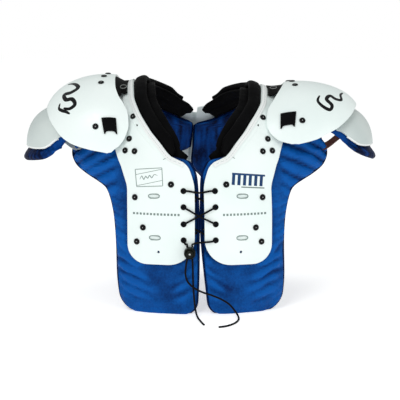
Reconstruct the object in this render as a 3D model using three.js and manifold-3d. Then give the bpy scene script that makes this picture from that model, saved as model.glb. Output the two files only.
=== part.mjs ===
// Football shoulder pad of a youth size, standing on the lower edges of its four body pads.
// Millimetres, +Z up. The chest faces -Y and the wearer's neck comes up through the opening at the top.
// "left" is the side at negative X, as a viewer in front of the chest sees it.

import * as THREE from "three";
import { mergeVertices } from "three/addons/utils/BufferGeometryUtils.js";
import Module from "manifold-3d";

const wasm = await Module();
wasm.setup();

// The body form: the line that the shell follows over the shoulder, seen from the side
const HALF_WIDTH = 112; // centre of the chest to the outer edge of a front plate
const CREST_HEIGHT = 372; // top of the body form on the centre plane
const SPRING_HEIGHT = 150; // where the straight chest turns into the shoulder curve
const FRONT_DEPTH = 148; // shoulder line to the chest
const BACK_DEPTH = 134; // shoulder line to the back
const HEM_FLARE = 6; // how far the chest and back spread at the hem
const SIDE_BOW = 26; // how far the form curves away at HALF_WIDTH

// Shell, pads and neck
const SHELL_WALL = 3;
const BRIDGE_WALL = 2;
const PLATE_CORNER_INNER = 40;
const PLATE_CORNER_OUTER = 29;
const PAD_GAP = 1; // clearance of a soft piece under a hard one
const PAD_THICKNESS = 14;
const PAD_EDGE = 5; // thickness left at a pad's rim
const PAD_CORNER_INNER = 18;
const PAD_CORNER_OUTER = 27;
const TOUCH = 0.3; // clearance between pieces that touch
const BINDING_GAP = 0.7; // clearance of the stitched band over the shell
const BINDING_WIDTH = 7;
const BINDING_THICKNESS = 1.5;
const ROLL_WIDTH = 18;
const ROLL_ABOVE = 5; // height of the collar roll over the shell's underside
const ROLL_BELOW = 7.5;
const LINING_THICKNESS = 9;
const LINING_GAP = 1.3;

// Epaulets and deltoid caps
const EPAULET_WALL = 3;
const EPAULET_SWEEP = 88; // degrees from the top to the front or back edge
const EPAULET_HALF_DEPTH = FRONT_DEPTH - 36; // front to back, at the neck side
const EPAULET_DROP = 0.4775 * (CREST_HEIGHT - SPRING_HEIGHT); // height of the dome over its front edge
const CAP_WALL = 3;
const CAP_HALF_DEPTH = FRONT_DEPTH - 70;
const CAP_REACH = 60; // how far the cap curves inwards at its front edge
const CAP_SWEEP = 80;
const CAP_CREST_X = HALF_WIDTH + 84;
const CAP_CREST_Z = CREST_HEIGHT - 128;
const CAP_CREST_RUN = 84;
const CAP_CREST_RISE = 68;
const CAP_PAD_THICKNESS = 12;
const CAP_PAD_MARGIN = 15; // how far the pad shows below the cap

// Straps and keeper
const STRAP_THICKNESS = 1.6;
const STRAP_GAP = 1; // clearance under the epaulet
const STRAP_LIFT = 1.1; // clearance over the curve of the shell
const CAP_STRAP_GAP = 0.7; // clearance over the deltoid cap
const ARM_STRAP_WIDTH = 12;
const BRIDGE_GAP = 0.8; // clearance over the back plates
const HEM_LEVEL = 60; // height over which the hem is drawn level with the floor
const KEEPER_WIDTH = 29;
const KEEPER_LENGTH = 25;
const KEEPER_NOTCH = 4.5;
const KEEPER_THICKNESS = 2;

// Rivets, eyelets and slots
const RIVET_HEAD = 4.7; // radius
const RIVET_HEIGHT = 2;
const RIVET_SHANK = 1.9; // radius
const RIVET_CLEARANCE = 0.4;
const RIVET_SIDES = 6;
const EYELET_RADIUS = 4.2;
const EYELET_SIDES = 8;
const EYELET_ACROSS = 24;
const VENT_RADIUS = 2.2;
const SLOT_LENGTH = 16;
const SLOT_WIDTH = 6;
const SLOT_DEPTH = 1.2;

// Lace and cord lock
const LACE_RADIUS = 1.5;
const LACE_SIDES = 6;
const LACE_SLACK = 0.8; // clearance of a strand under the plate
const LACING_RECESS = 6.5; // how much thinner the pad is behind the lacing
const LOCK_RADIUS = 8.8;
const LOCK_SIDES = 14;
const LOCK_LENGTH = 12.4;
const LOCK_FLOOR = 3;
const LOCK_X = -15;
const LOCK_Z = 96;
const LOCK_EXIT = 4; // centre of the lock to each strand
const BUTTON_RADIUS = 5.6;
const BUTTON_PROUD = 3.4;
const BUTTON_TRAVEL = 3;
const BUTTON_CLEARANCE = 0.5;

// Grid of the faceted surfaces: every body piece has its stations at the same places along the form.
const GRID = [
  0.0675, 0.133, 0.19, 0.2165, 0.2361, 0.2478, 0.2585, 0.2705, 0.274, 0.285, 0.2997, 0.3155, 0.332,
  0.352, 0.3747, 0.4, 0.425, 0.45, 0.475, 0.505, 0.53, 0.555, 0.58, 0.605, 0.625, 0.64, 0.65, 0.6605, 0.673,
  0.6865, 0.7, 0.722, 0.745, 0.7665, 0.785, 0.802, 0.825, 0.8565, 0.905, 0.9375,
];
const CORNER_STEPS = 3;
const NECK_STEP = 17; // between the stations of the pieces along the neck

// What differs between the two sides: the epaulets sit a little turned, each its own way.
// swing is in degrees; the crest of an epaulet is a quarter ellipse in the XZ plane.
const SIDES = [
  {
    name: "left",
    sign: -1,
    crestX: HALF_WIDTH + 38,
    crestZ: CREST_HEIGHT - 15,
    run: 98,
    rise: 66,
    swing: 6.5,
    fan: 0,
  },
  {
    name: "right",
    sign: 1,
    crestX: HALF_WIDTH + 48,
    crestZ: CREST_HEIGHT - 26,
    run: 96,
    rise: 50,
    swing: -6.5,
    fan: 10,
  },
];
// How far the shoulders have settled, and how far the right one leans to the neck.
const LEFT_SETTLE = 4.5;
const RIGHT_SETTLE = 13;
const RIGHT_LEAN = 7;

// Places on each epaulet, as a turn and a sweep in degrees. The rivets run from the front backwards.
const FITTINGS = {
  left: {
    keeper: { turn: -0.8, sweep: -65.5 },
    keeperRivet: { turn: 16.6, sweep: -64.7 },
    rivets: [
      { turn: 3.9, sweep: -19.6 },
      { turn: 1.4, sweep: -5.9 },
      { turn: -1.5, sweep: 7 },
    ],
  },
  right: {
    keeper: { turn: -12, sweep: -66.6 },
    keeperRivet: { turn: 5.5, sweep: -67.9 },
    rivets: [
      { turn: -5.1, sweep: -23.3 },
      { turn: -7, sweep: -10 },
      { turn: -9.5, sweep: 3 },
    ],
  },
};

// Outline of the shell. along is the share of the body form's length, from the front hem over the
// shoulder to the back hem; inner and outer are shares of HALF_WIDTH.
const SHELL_EDGES = [
  { along: 0.0842, inner: 0.07, outer: 1.0 },
  { along: 0.2165, inner: 0.064, outer: 1.0 },
  { along: 0.2519, inner: 0.13, outer: 1.058 },
  { along: 0.2659, inner: 0.225, outer: 1.085 },
  { along: 0.274, inner: 0.37, outer: 1.1 },
  { along: 0.2997, inner: 0.528, outer: 1.155 },
  { along: 0.3298, inner: 0.687, outer: 1.215 },
  { along: 0.3747, inner: 0.838, outer: 1.295 },
  { along: 0.4209, inner: 0.913, outer: 1.34 },
  { along: 0.492, inner: 0.933, outer: 1.375 },
  { along: 0.55, inner: 0.893, outer: 1.36 },
  { along: 0.58, inner: 0.786, outer: 1.34 },
  { along: 0.61, inner: 0.607, outer: 1.31 },
  { along: 0.635, inner: 0.393, outer: 1.27 },
  { along: 0.65, inner: 0.196, outer: 1.25 },
  { along: 0.7, inner: 0, outer: 1.15 },
  { along: 0.75, inner: 0, outer: 1.06 },
  { along: 0.79, inner: 0, outer: 1.0 },
  { along: 0.905, inner: 0, outer: 1.0 },
];
const SHELL_BACK_NECK = 0.658; // from here on the shell's inner edge follows the gap at the back

// The gap between the two back halves leans to the left and opens below the bridge.
const BACK_GAP = [
  { along: 0.658, left: -0.085, right: -0.005 },
  { along: 0.7, left: -0.11, right: -0.055 },
  { along: 0.735, left: -0.15, right: -0.08 },
  { along: 0.775, left: -0.18, right: -0.11 },
  { along: 0.787, left: -0.18, right: -0.07 },
  { along: 0.8, left: -0.18, right: 0.03 },
  { along: 0.82, left: -0.2, right: 0.125 },
  { along: 0.85, left: -0.23, right: 0.21 },
  { along: 0.905, left: -0.27, right: 0.27 },
  { along: 1, left: -0.29, right: 0.29 },
];

const FRONT_PAD_EDGES = [
  { along: 0, inner: 0.05, outer: 1.072 },
  { along: 0.0675, inner: 0.027, outer: 1.137 },
  { along: 0.113, inner: 0.023, outer: 1.15 },
  { along: 0.1566, inner: 0.023, outer: 1.174 },
  { along: 0.19, inner: 0.027, outer: 1.214 },
  { along: 0.2218, inner: 0.036, outer: 1.293 },
  { along: 0.2361, inner: 0.045, outer: 1.41 },
  { along: 0.2478, inner: 0.063, outer: 1.528 },
  { along: 0.2615, inner: 0.12, outer: 1.643 },
  { along: 0.2715, inner: 0.18, outer: 1.71 },
  { along: 0.273, inner: 0.4, outer: 1.72 },
  { along: 0.2824, inner: 0.525, outer: 1.76 },
  { along: 0.2936, inner: 0.645, outer: 1.79 },
  { along: 0.31, inner: 0.76, outer: 1.815 },
  { along: 0.33, inner: 0.835, outer: 1.81 },
  { along: 0.345, inner: 0.895, outer: 1.75 },
  { along: 0.3747, inner: 0.975, outer: 1.59 },
  { along: 0.4, inner: 1.02, outer: 1.47 },
  { along: 0.44, inner: 1.055, outer: 1.41 },
  { along: 0.495, inner: 1.09, outer: 1.39 },
];
const BACK_PAD_EDGES = [
  { along: 0.505, inner: 1.09, outer: 1.39 },
  { along: 0.55, inner: 1.085, outer: 1.41 },
  { along: 0.593, inner: 0.985, outer: 1.47 },
  { along: 0.63, inner: 0.81, outer: 1.59 },
  { along: 0.6586, inner: 0.56, outer: 1.75 },
  { along: 0.676, inner: 0.345, outer: 1.81 },
  { along: 0.6865, inner: 0.17, outer: 1.815 },
  { along: 0.69, inner: 0, outer: 1.81 },
  { along: 0.72, inner: 0, outer: 1.73 },
  { along: 0.7522, inner: 0, outer: 1.528 },
  { along: 0.7782, inner: 0, outer: 1.293 },
  { along: 0.81, inner: 0, outer: 1.214 },
  { along: 0.8434, inner: 0, outer: 1.174 },
  { along: 0.887, inner: 0, outer: 1.15 },
  { along: 0.9325, inner: 0, outer: 1.137 },
  { along: 1, inner: 0, outer: 1.072 },
];
const BACK_PAD_GAP_START = 0.69; // from here on the pad's inner edge follows the gap at the back
const LEFT_BACK_PAD_STEP = { along: 0.745, inner: 0.42 }; // below here the left pad stops short of the gap
const STEP_RUN = 0.0012; // the step itself, along

// Cross-sections: share runs from the inner to the outer edge, top and under are shares of the thickness
// given up at that place.
const PAD_SECTION = [
  { share: 0, top: 0.16, under: 0.46 },
  { share: 0.045, top: 0, under: 0.12 },
  { share: 0.27, top: 0, under: 0 },
  { share: 0.62, top: 0, under: 0 },
  { share: 0.9, top: 0, under: 0.1 },
  { share: 1, top: 0.16, under: 0.46 },
];
const LACED_COLUMNS = 3; // the pad is thinner behind the lacing in its first columns
const LACING_ZONE = { from: 0.1, full: 0.115, fullTo: 0.228, to: 0.243 };
const SHELL_SHARES = [0, 0.25, 0.5, 0.75, 1];

// The soft neck pieces run along the shell's neck edge. offset columns are millimetres from that
// edge as shares of ROLL_WIDTH, positive towards the neck.
const BINDING_SPAN = { from: 0.262, to: 0.652 };
const ROLL_SPAN = { from: 0.275, to: 0.634 };
const LINING_ROWS = [
  { along: 0.2735, out: 0.11, in: 1.0 },
  { along: 0.285, out: -0.22, in: 1.15 },
  { along: 0.3, out: -0.5, in: 1.45 },
  { along: 0.34, out: -0.55, in: 1.6 },
  { along: 0.42, out: -0.6, in: 1.65 },
  { along: 0.5, out: -0.65, in: 1.6 },
  { along: 0.55, out: -0.85, in: 1.1 },
  { along: 0.6, out: -1.25, in: 0.6 },
  { along: 0.646, out: -1.4, in: 0.45 },
];
const LINING_DROP = 8; // how far the lining dives below the shell beside the collar roll

// Rivets on the shell, along and across as above; the bridged ones are at the back and hold the bridge too.
const SHELL_RIVETS = [
  { along: 0.3602, across: 0.92 },
  { along: 0.3139, across: 0.97 },
  { along: 0.2917, across: 1.023 },
  { along: 0.2886, across: 0.89 },
  { along: 0.2269, across: 0.387 },
  { along: 0.2037, across: 0.881 },
  { along: 0.1501, across: 0.779 },
  { along: 0.1248, across: 0.865 },
  { along: 0.69, across: 0.33, bridged: true },
  { along: 0.765, across: 0.33, bridged: true },
];
const EYELETS = [0.2157, 0.188, 0.1583, 0.1303]; // along
const SLOTS = [
  { along: 0.2064, across: 0.605 },
  { along: 0.133, across: 0.595 },
];
const VENTS = [
  { along: 0.1083, across: 0.555 },
  { along: 0.339, across: 0.854 },
];
const BRIDGE = { from: 0.672, to: 0.782, left: -0.46, right: 0.42 };

// Epaulet dome by turn, in degrees from the top of the crest towards the arm. fan is the lean of
// the section from upright, depth and drop are shares of EPAULET_HALF_DEPTH and EPAULET_DROP.
const DOME = [
  { turn: -28, fan: 0, depth: 1, drop: 1 },
  { turn: -5, fan: 7, depth: 1, drop: 1 },
  { turn: 20, fan: 15.5, depth: 1, drop: 1.03 },
  { turn: 50, fan: 20.5, depth: 0.94, drop: 0.97 },
  { turn: 75, fan: 25, depth: 0.81, drop: 0.74 },
];
// Edge of the epaulet: sweep is the share of EPAULET_SWEEP, inner and outer are turns.
const EPAULET_EDGES = {
  left: [
    { sweep: 0, inner: -11, outer: 76 },
    { sweep: 0.27, inner: -12, outer: 75 },
    { sweep: 0.4, inner: -13.5, outer: 74 },
    { sweep: 0.49, inner: -18, outer: 72.5 },
    { sweep: 0.59, inner: -23, outer: 69 },
    { sweep: 0.7, inner: -23.8, outer: 64 },
    { sweep: 0.83, inner: -18.9, outer: 49.5 },
    { sweep: 0.93, inner: -10, outer: 31 },
    { sweep: 1, inner: 3, outer: 12 },
  ],
  right: [
    { sweep: 0, inner: -12, outer: 74 },
    { sweep: 0.293, inner: -19, outer: 71.5 },
    { sweep: 0.479, inner: -27.6, outer: 69 },
    { sweep: 0.596, inner: -34.8, outer: 66 },
    { sweep: 0.727, inner: -36.6, outer: 59 },
    { sweep: 0.836, inner: -33, outer: 47 },
    { sweep: 0.947, inner: -21, outer: 29 },
    { sweep: 1, inner: -4.6, outer: 10 },
  ],
};
const EPAULET_SWEEPS = [-1, -0.93, -0.83, -0.7, -0.56, -0.41, -0.21, 0, 0.21, 0.41, 0.56, 0.7, 0.83, 0.93, 1];
const EPAULET_COLUMNS = 6;
const STRAP_SWEEPS = [-0.41, -0.21, 0, 0.21, 0.41];

// Deltoid cap: turn from the top of its crest to its lower rim, in degrees.
const CAP_EDGE = [
  { sweep: 0, first: 10, last: 90 },
  { sweep: 0.5, first: 10, last: 88 },
  { sweep: 0.8, first: 12, last: 82 },
  { sweep: 1, first: 22, last: 70 },
];
const CAP_SWEEPS = [-1, -0.9, -0.7, -0.45, -0.2, 0, 0.2, 0.45, 0.7, 0.9, 1];
const CAP_SHARES = [0, 0.25, 0.5, 0.75, 1];
const CAP_FAN = { first: 30, last: 90 };

// Arm strap: its places on the wing of the front pad and inside the deltoid pad.
const ARM_STRAP_WING = { along: 0.325, from: HALF_WIDTH + 74, tip: HALF_WIDTH + 85 };
const ARM_STRAP_CAP = { turn: 45, sweep: -70 };
const ARM_STRAP_SEAT = 0.9; // clearance over the wing
const ARM_STRAP_DROP = 1.5; // clearance under the deltoid pad

// The free ends of the lace, from the lock down the front pad and out on the floor.
const TAIL_A_ROUTE = [
  [-11, -158, 87.3],
  [-10.5, -159, 74],
  [-10.2, -159.5, 58],
  [-9.6, -160, 42],
  [-8.4, -161, 27],
  [-7, -163.5, 13.5],
  [-5, -170, 4.6],
  [-2.5, -181, 1.6],
  [0.5, -196, 1.6],
  [3.5, -209, 1.6],
  [6.3, -219, 1.6],
];
const TAIL_B_ROUTE = [
  [-19, -158, 87.3],
  [-20.9, -159, 75],
  [-21.4, -160, 63],
  [-17.7, -161.5, 52],
  [-8.6, -163, 43.5],
  [4, -164, 37],
  [19, -164.5, 32],
  [34, -165, 25.5],
  [45.5, -166, 18],
  [52.5, -168, 10],
  [57, -173, 4.4],
  [58.7, -183, 1.6],
  [57, -196, 1.6],
  [53, -208, 1.6],
  [47, -218, 1.6],
  [38.5, -227, 1.6],
  [28, -232, 1.6],
];

const COLOURS = {
  shell: { color: 0xf2f8f6, roughness: 0.35, metalness: 0 },
  cap: { color: 0xccd6d4, roughness: 0.4, metalness: 0 },
  nylon: { color: 0x17508f, roughness: 0.6, metalness: 0 },
  collar: { color: 0x0c0c0e, roughness: 0.8, metalness: 0 },
  binding: { color: 0xf0f2f0, roughness: 0.6, metalness: 0 },
  webbing: { color: 0x0b0b0c, roughness: 0.7, metalness: 0 },
  rivet: { color: 0x101012, roughness: 0.3, metalness: 0.6 },
  lace: { color: 0x08080a, roughness: 0.8, metalness: 0 },
  lock: { color: 0x14160f, roughness: 0.45, metalness: 0 },
  button: { color: 0x8c8f86, roughness: 0.35, metalness: 0.5 },
  leather: { color: 0x5a2d1e, roughness: 0.7, metalness: 0 },
};

const degrees = THREE.MathUtils.degToRad;

// The body form seen from the side: X of this path is the part's Y, Y of this path is its Z.
const bodyForm = new THREE.Path();
bodyForm.moveTo(-FRONT_DEPTH - HEM_FLARE, 0);
bodyForm.quadraticCurveTo(-FRONT_DEPTH, SPRING_HEIGHT / 2, -FRONT_DEPTH, SPRING_HEIGHT);
const shoulderRise = CREST_HEIGHT - SPRING_HEIGHT;
bodyForm.absellipse(0, SPRING_HEIGHT, FRONT_DEPTH, shoulderRise, Math.PI, Math.PI / 2, true);
bodyForm.absellipse(0, SPRING_HEIGHT, BACK_DEPTH, shoulderRise, Math.PI / 2, 0, true);
bodyForm.quadraticCurveTo(BACK_DEPTH, SPRING_HEIGHT / 2, BACK_DEPTH + HEM_FLARE, 0);
const FORM_LENGTH = bodyForm.getLength();

// Value of one column of a table at a place between its rows, without overshoot.
function lookUp(rows, place, column, at) {
  const last = rows.length - 1;
  if (at <= rows[0][place]) return rows[0][column];
  if (at >= rows[last][place]) return rows[last][column];
  const i = rows.findIndex((row) => row[place] > at) - 1;
  const rise = (k) => {
    const run = rows[k + 1][place] - rows[k][place];
    return (rows[k + 1][column] - rows[k][column]) / run;
  };
  const slopeAt = (k) => {
    if (k === 0 || k === last) return rise(Math.min(k, last - 1));
    const before = rise(k - 1);
    const after = rise(k);
    return before * after <= 0 ? 0 : (2 * before * after) / (before + after);
  };
  const run = rows[i + 1][place] - rows[i][place];
  const t = (at - rows[i][place]) / run;
  const start = rows[i][column] * (1 + 2 * t) * (1 - t) ** 2;
  const end = rows[i + 1][column] * (3 - 2 * t) * t ** 2;
  const leave = slopeAt(i) * run * t * (1 - t) ** 2;
  const arrive = slopeAt(i + 1) * run * (t - 1) * t ** 2;
  return start + end + leave + arrive;
}

// A point over the body form: a share of its length, millimetres across, millimetres out.
function overBody(along, across, height = 0) {
  const centre = bodyForm.getPoint(along);
  const way = bodyForm.getTangent(along);
  const bow = SIDE_BOW * (across / HALF_WIDTH) ** 2;
  const slope = (2 * SIDE_BOW * across) / HALF_WIDTH ** 2;
  const outward = new THREE.Vector3(slope, -way.y, way.x).normalize();
  const point = new THREE.Vector3(across, centre.x + way.y * bow, centre.y - way.x * bow);
  point.addScaledVector(outward, height);
  // The cloth and its padding have settled: both shoulders are a little lower, the right one more.
  const right = THREE.MathUtils.smoothstep(across, -40, 40);
  const top = THREE.MathUtils.smoothstep(along, 0.336, 0.43) * (1 - THREE.MathUtils.smoothstep(along, 0.53, 0.62));
  const upper = THREE.MathUtils.smoothstep(centre.y, 130, 330) * (1 - THREE.MathUtils.smoothstep(across, 125, 180));
  point.z -= THREE.MathUtils.lerp(LEFT_SETTLE, RIGHT_SETTLE, right) * top;
  point.x -= RIGHT_LEAN * right * upper;
  return { point, outward };
}

// A closed mesh through rings of points. A ring runs over the top of the piece and back underneath.
function loft(rings) {
  const size = rings[0].length;
  const index = [];
  for (let i = 0; i < rings.length - 1; i++) {
    for (let j = 0; j < size; j++) {
      const a = i * size + j;
      const b = i * size + ((j + 1) % size);
      index.push(a, b, b + size, a, b + size, a + size);
    }
  }
  const end = (rings.length - 1) * size;
  for (let j = 0; j < size / 2 - 1; j++) {
    const under = size - 1 - j;
    index.push(j + 1, j, under, j + 1, under, under - 1);
    index.push(end + j, end + j + 1, end + under, end + j + 1, end + under - 1, end + under);
  }
  const positions = rings.flat().flatMap((p) => [p.x, p.y, p.z]);
  const geometry = new THREE.BufferGeometry();
  geometry.setAttribute("position", new THREE.Float32BufferAttribute(positions, 3));
  geometry.setIndex(index);
  return facingOut(geometry);
}

function facingOut(geometry) {
  const index = geometry.index.array;
  const p = [0, 1, 2].map(() => new THREE.Vector3());
  let volume = 0;
  for (let i = 0; i < index.length; i += 3) {
    p.forEach((v, k) => v.fromBufferAttribute(geometry.attributes.position, index[i + k]));
    volume += p[0].dot(p[1].cross(p[2]));
  }
  if (volume < 0) {
    for (let i = 0; i < index.length; i += 3) [index[i], index[i + 1]] = [index[i + 1], index[i]];
  }
  return geometry;
}

function toSolid(geometry) {
  const bare = geometry.clone();
  bare.deleteAttribute("normal");
  bare.deleteAttribute("uv");
  const merged = mergeVertices(bare, 1e-3);
  return new wasm.Manifold(
    new wasm.Mesh({
      numProp: 3,
      vertProperties: new Float32Array(merged.attributes.position.array),
      triVerts: new Uint32Array(merged.index.array),
    }),
  );
}

function toGeometry(solid) {
  const mesh = solid.getMesh();
  const geometry = new THREE.BufferGeometry();
  geometry.setAttribute("position", new THREE.BufferAttribute(new Float32Array(mesh.vertProperties), 3));
  geometry.setIndex(new THREE.BufferAttribute(new Uint32Array(mesh.triVerts), 1));
  return geometry;
}

function cut(geometry, tools) {
  let solid = toSolid(geometry);
  for (const tool of tools) solid = solid.subtract(toSolid(tool));
  return toGeometry(solid);
}

const root = new THREE.Group();

function addPiece(name, geometry, colour) {
  if (!geometry.attributes.normal) geometry.computeVertexNormals();
  const mesh = new THREE.Mesh(geometry, new THREE.MeshStandardMaterial(COLOURS[colour]));
  mesh.name = name;
  root.add(mesh);
  return mesh;
}

// Turns a shape whose axis is Y so that the axis points outward, and moves it to a point.
function seat(object, { point, outward }) {
  object.quaternion.setFromUnitVectors(new THREE.Vector3(0, 1, 0), outward);
  object.position.copy(point);
  object.updateMatrix();
  return object;
}

// A straight hole tool through a wall, seated where a rivet or a lace goes.
function holeTool(place, radius, depth, sides = RIVET_SIDES) {
  const drill = new THREE.CylinderGeometry(radius, radius, 2 * depth, sides);
  const seated = seat(new THREE.Object3D(), place);
  return drill.applyMatrix4(seated.matrix);
}

// How far a rounded corner draws the edge in, at a distance from the end of a piece.
function cornerInset(distance, radius) {
  if (distance >= radius) return 0;
  return radius - Math.sqrt(radius ** 2 - (radius - Math.max(distance, 0)) ** 2);
}

// Stations along a body piece: its ends with their corners, its own steps and the common grid.
function stations(from, to, steps, cornerFrom, cornerTo) {
  const kept = [from, to];
  const reachFrom = from + cornerFrom / FORM_LENGTH;
  const reachTo = to - cornerTo / FORM_LENGTH;
  for (let k = 1; k < CORNER_STEPS; k++) {
    const share = 1 - Math.cos((k * Math.PI) / 2 / CORNER_STEPS);
    if (cornerFrom > 0) kept.push(from + (reachFrom - from) * share);
    if (cornerTo > 0) kept.push(to - (to - reachTo) * share);
  }
  if (cornerFrom > 0) kept.push(reachFrom);
  if (cornerTo > 0) kept.push(reachTo);
  kept.push(...steps, ...GRID.filter((mark) => mark > reachFrom && mark < reachTo));
  return kept.sort((a, b) => a - b);
}

function shellEdges(side, along) {
  const outer = lookUp(SHELL_EDGES, "along", "outer", along);
  const inner = along < SHELL_BACK_NECK ? neckEdge(along) / HALF_WIDTH : backGap(side, along);
  return { inner: inner * HALF_WIDTH, outer: outer * HALF_WIDTH };
}

function backGap(side, along) {
  return side.sign * lookUp(BACK_GAP, "along", side.name, along);
}

function neckEdge(along) {
  return lookUp(SHELL_EDGES, "along", "inner", along) * HALF_WIDTH;
}

// A point over the body form, drawn down or up near the hem so that the hem is flat on the floor.
function levelled(along, across, height) {
  const { point } = overBody(along, across, height);
  const hem = along < 0.5 ? 0 : 1;
  const distance = Math.abs(along - hem) * FORM_LENGTH;
  if (distance < HEM_LEVEL) {
    point.z -= overBody(hem, across, height).point.z * (1 - distance / HEM_LEVEL);
  }
  return point;
}

// A piece that lies on the body form between two edges.
function bodyPiece(side, { from, to, steps, edges, section, corners }) {
  const startCorner = Math.max(corners.from.inner, corners.from.outer);
  const endCorner = Math.max(corners.to.inner, corners.to.outer);
  const rings = stations(from, to, steps, startCorner, endCorner).map((along) => {
    const edge = edges(along);
    const ahead = (along - from) * FORM_LENGTH;
    const behind = (to - along) * FORM_LENGTH;
    const inner = edge.inner + cornerInset(ahead, corners.from.inner) + cornerInset(behind, corners.to.inner);
    const outer = edge.outer - cornerInset(ahead, corners.from.outer) - cornerInset(behind, corners.to.outer);
    const columns = section(along, inner, outer);
    const top = columns.map((c) => levelled(along, side.sign * c.across, c.top));
    const under = columns.map((c) => levelled(along, side.sign * c.across, c.under));
    return [...top, ...under.reverse()];
  });
  return loft(rings);
}

function bodyArch(side) {
  const plate = { inner: PLATE_CORNER_INNER, outer: PLATE_CORNER_OUTER };
  const blank = bodyPiece(side, {
    from: SHELL_EDGES[0].along,
    to: SHELL_EDGES[SHELL_EDGES.length - 1].along,
    steps: [],
    edges: (along) => shellEdges(side, along),
    section: (along, inner, outer) =>
      SHELL_SHARES.map((share) => ({
        across: inner + (outer - inner) * share,
        top: SHELL_WALL,
        under: 0,
      })),
    corners: { from: plate, to: plate },
  });
  const place = (row) => overBody(row.along, side.sign * row.across * HALF_WIDTH, SHELL_WALL / 2);
  const rivetHoles = SHELL_RIVETS.map((row) =>
    holeTool(place(row), RIVET_SHANK + RIVET_CLEARANCE, SHELL_WALL),
  );
  const eyelets = EYELETS.map((along) => {
    const seatAt = overBody(along, side.sign * EYELET_ACROSS, SHELL_WALL / 2);
    return holeTool(seatAt, EYELET_RADIUS, SHELL_WALL, EYELET_SIDES);
  });
  const vents = VENTS.map((row) => holeTool(place(row), VENT_RADIUS, SHELL_WALL));
  return cut(blank, [...rivetHoles, ...eyelets, ...vents, ...SLOTS.map((row) => slotTool(side, row))]);
}

// A shallow oblong pocket in the front plate, its length across the chest.
function slotTool(side, row) {
  const outline = new THREE.Shape();
  const straight = (SLOT_LENGTH - SLOT_WIDTH) / 2;
  const end = SLOT_WIDTH / 2;
  outline.absarc(straight, 0, end, -Math.PI / 2, Math.PI / 2, false);
  outline.absarc(-straight, 0, end, Math.PI / 2, (3 * Math.PI) / 2, false);
  const pocket = new THREE.ExtrudeGeometry(outline, {
    depth: 2 * SLOT_DEPTH,
    bevelEnabled: false,
    curveSegments: 2,
  });
  const place = overBody(row.along, side.sign * row.across * HALF_WIDTH, SHELL_WALL);
  const turn = new THREE.Matrix4();
  const acrossWay = new THREE.Vector3(1, 0, 0);
  const upWay = new THREE.Vector3().crossVectors(place.outward, acrossWay).normalize();
  acrossWay.crossVectors(upWay, place.outward);
  turn.makeBasis(acrossWay, upWay, place.outward);
  turn.setPosition(place.point.addScaledVector(place.outward, -SLOT_DEPTH));
  return pocket.applyMatrix4(turn);
}

// Depth of the recess behind the lacing at a place along the front pad.
function lacingRecess(along) {
  const rise = THREE.MathUtils.smoothstep(along, LACING_ZONE.from, LACING_ZONE.full);
  const fall = THREE.MathUtils.smoothstep(along, LACING_ZONE.fullTo, LACING_ZONE.to);
  return LACING_RECESS * (rise - fall);
}

function padSection(recess) {
  const given = PAD_THICKNESS - PAD_EDGE;
  return (along, inner, outer) =>
    PAD_SECTION.map((row, column) => ({
      across: inner + (outer - inner) * row.share,
      top: -PAD_GAP - row.top * given - (column < LACED_COLUMNS ? recess(along) : 0),
      under: -PAD_GAP - PAD_THICKNESS + row.under * given * (recess(along) > 0 && column === 0 ? 0 : 1),
    }));
}

const PAD_HEM = { inner: PAD_CORNER_INNER, outer: PAD_CORNER_OUTER };
const SQUARE_END = { inner: 0, outer: 0 };

function frontPad(side) {
  return bodyPiece(side, {
    from: 0,
    to: FRONT_PAD_EDGES[FRONT_PAD_EDGES.length - 1].along,
    steps: [],
    edges: (along) => ({
      inner: lookUp(FRONT_PAD_EDGES, "along", "inner", along) * HALF_WIDTH,
      outer: lookUp(FRONT_PAD_EDGES, "along", "outer", along) * HALF_WIDTH,
    }),
    section: padSection(lacingRecess),
    corners: { from: PAD_HEM, to: SQUARE_END },
  });
}

function backPad(side) {
  const step = LEFT_BACK_PAD_STEP;
  const innerShare = (along) => {
    if (along < BACK_PAD_GAP_START) return lookUp(BACK_PAD_EDGES, "along", "inner", along);
    const atGap = backGap(side, along);
    if (side.sign > 0 || along < step.along) return atGap;
    return Math.max(atGap, step.inner);
  };
  return bodyPiece(side, {
    from: BACK_PAD_EDGES[0].along,
    to: 1,
    steps: side.sign < 0 ? [step.along - STEP_RUN] : [],
    edges: (along) => ({
      inner: innerShare(along) * HALF_WIDTH,
      outer: lookUp(BACK_PAD_EDGES, "along", "outer", along) * HALF_WIDTH,
    }),
    section: padSection(() => 0),
    corners: { from: SQUARE_END, to: PAD_HEM },
  });
}

// A point beside the shell's neck edge: offset is millimetres towards the neck.
function besideNeck(side, along, offset, height) {
  const step = 0.008;
  const run = 2 * step * FORM_LENGTH;
  const slope = (neckEdge(along + step) - neckEdge(along - step)) / run;
  const length = Math.hypot(slope, 1);
  const moved = along + (offset * slope) / length / FORM_LENGTH;
  const across = neckEdge(along) - offset / length;
  return overBody(moved, side.sign * across, height).point;
}

function neckStations(span) {
  const count = Math.round(((span.to - span.from) * FORM_LENGTH) / NECK_STEP);
  return Array.from({ length: count + 1 }, (_, k) => span.from + ((span.to - span.from) * k) / count);
}

function neckPiece(side, span, section) {
  const rings = neckStations(span).map((along) =>
    section(along).map((corner) => besideNeck(side, along, corner.offset, corner.height)),
  );
  return loft(rings);
}

function neckBinding(side) {
  const low = SHELL_WALL + BINDING_GAP;
  const high = low + BINDING_THICKNESS;
  const inner = -BINDING_GAP;
  const outer = inner - BINDING_WIDTH;
  return neckPiece(side, BINDING_SPAN, () => [
    { offset: outer, height: high },
    { offset: inner, height: high },
    { offset: inner, height: low },
    { offset: outer, height: low },
  ]);
}

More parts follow.
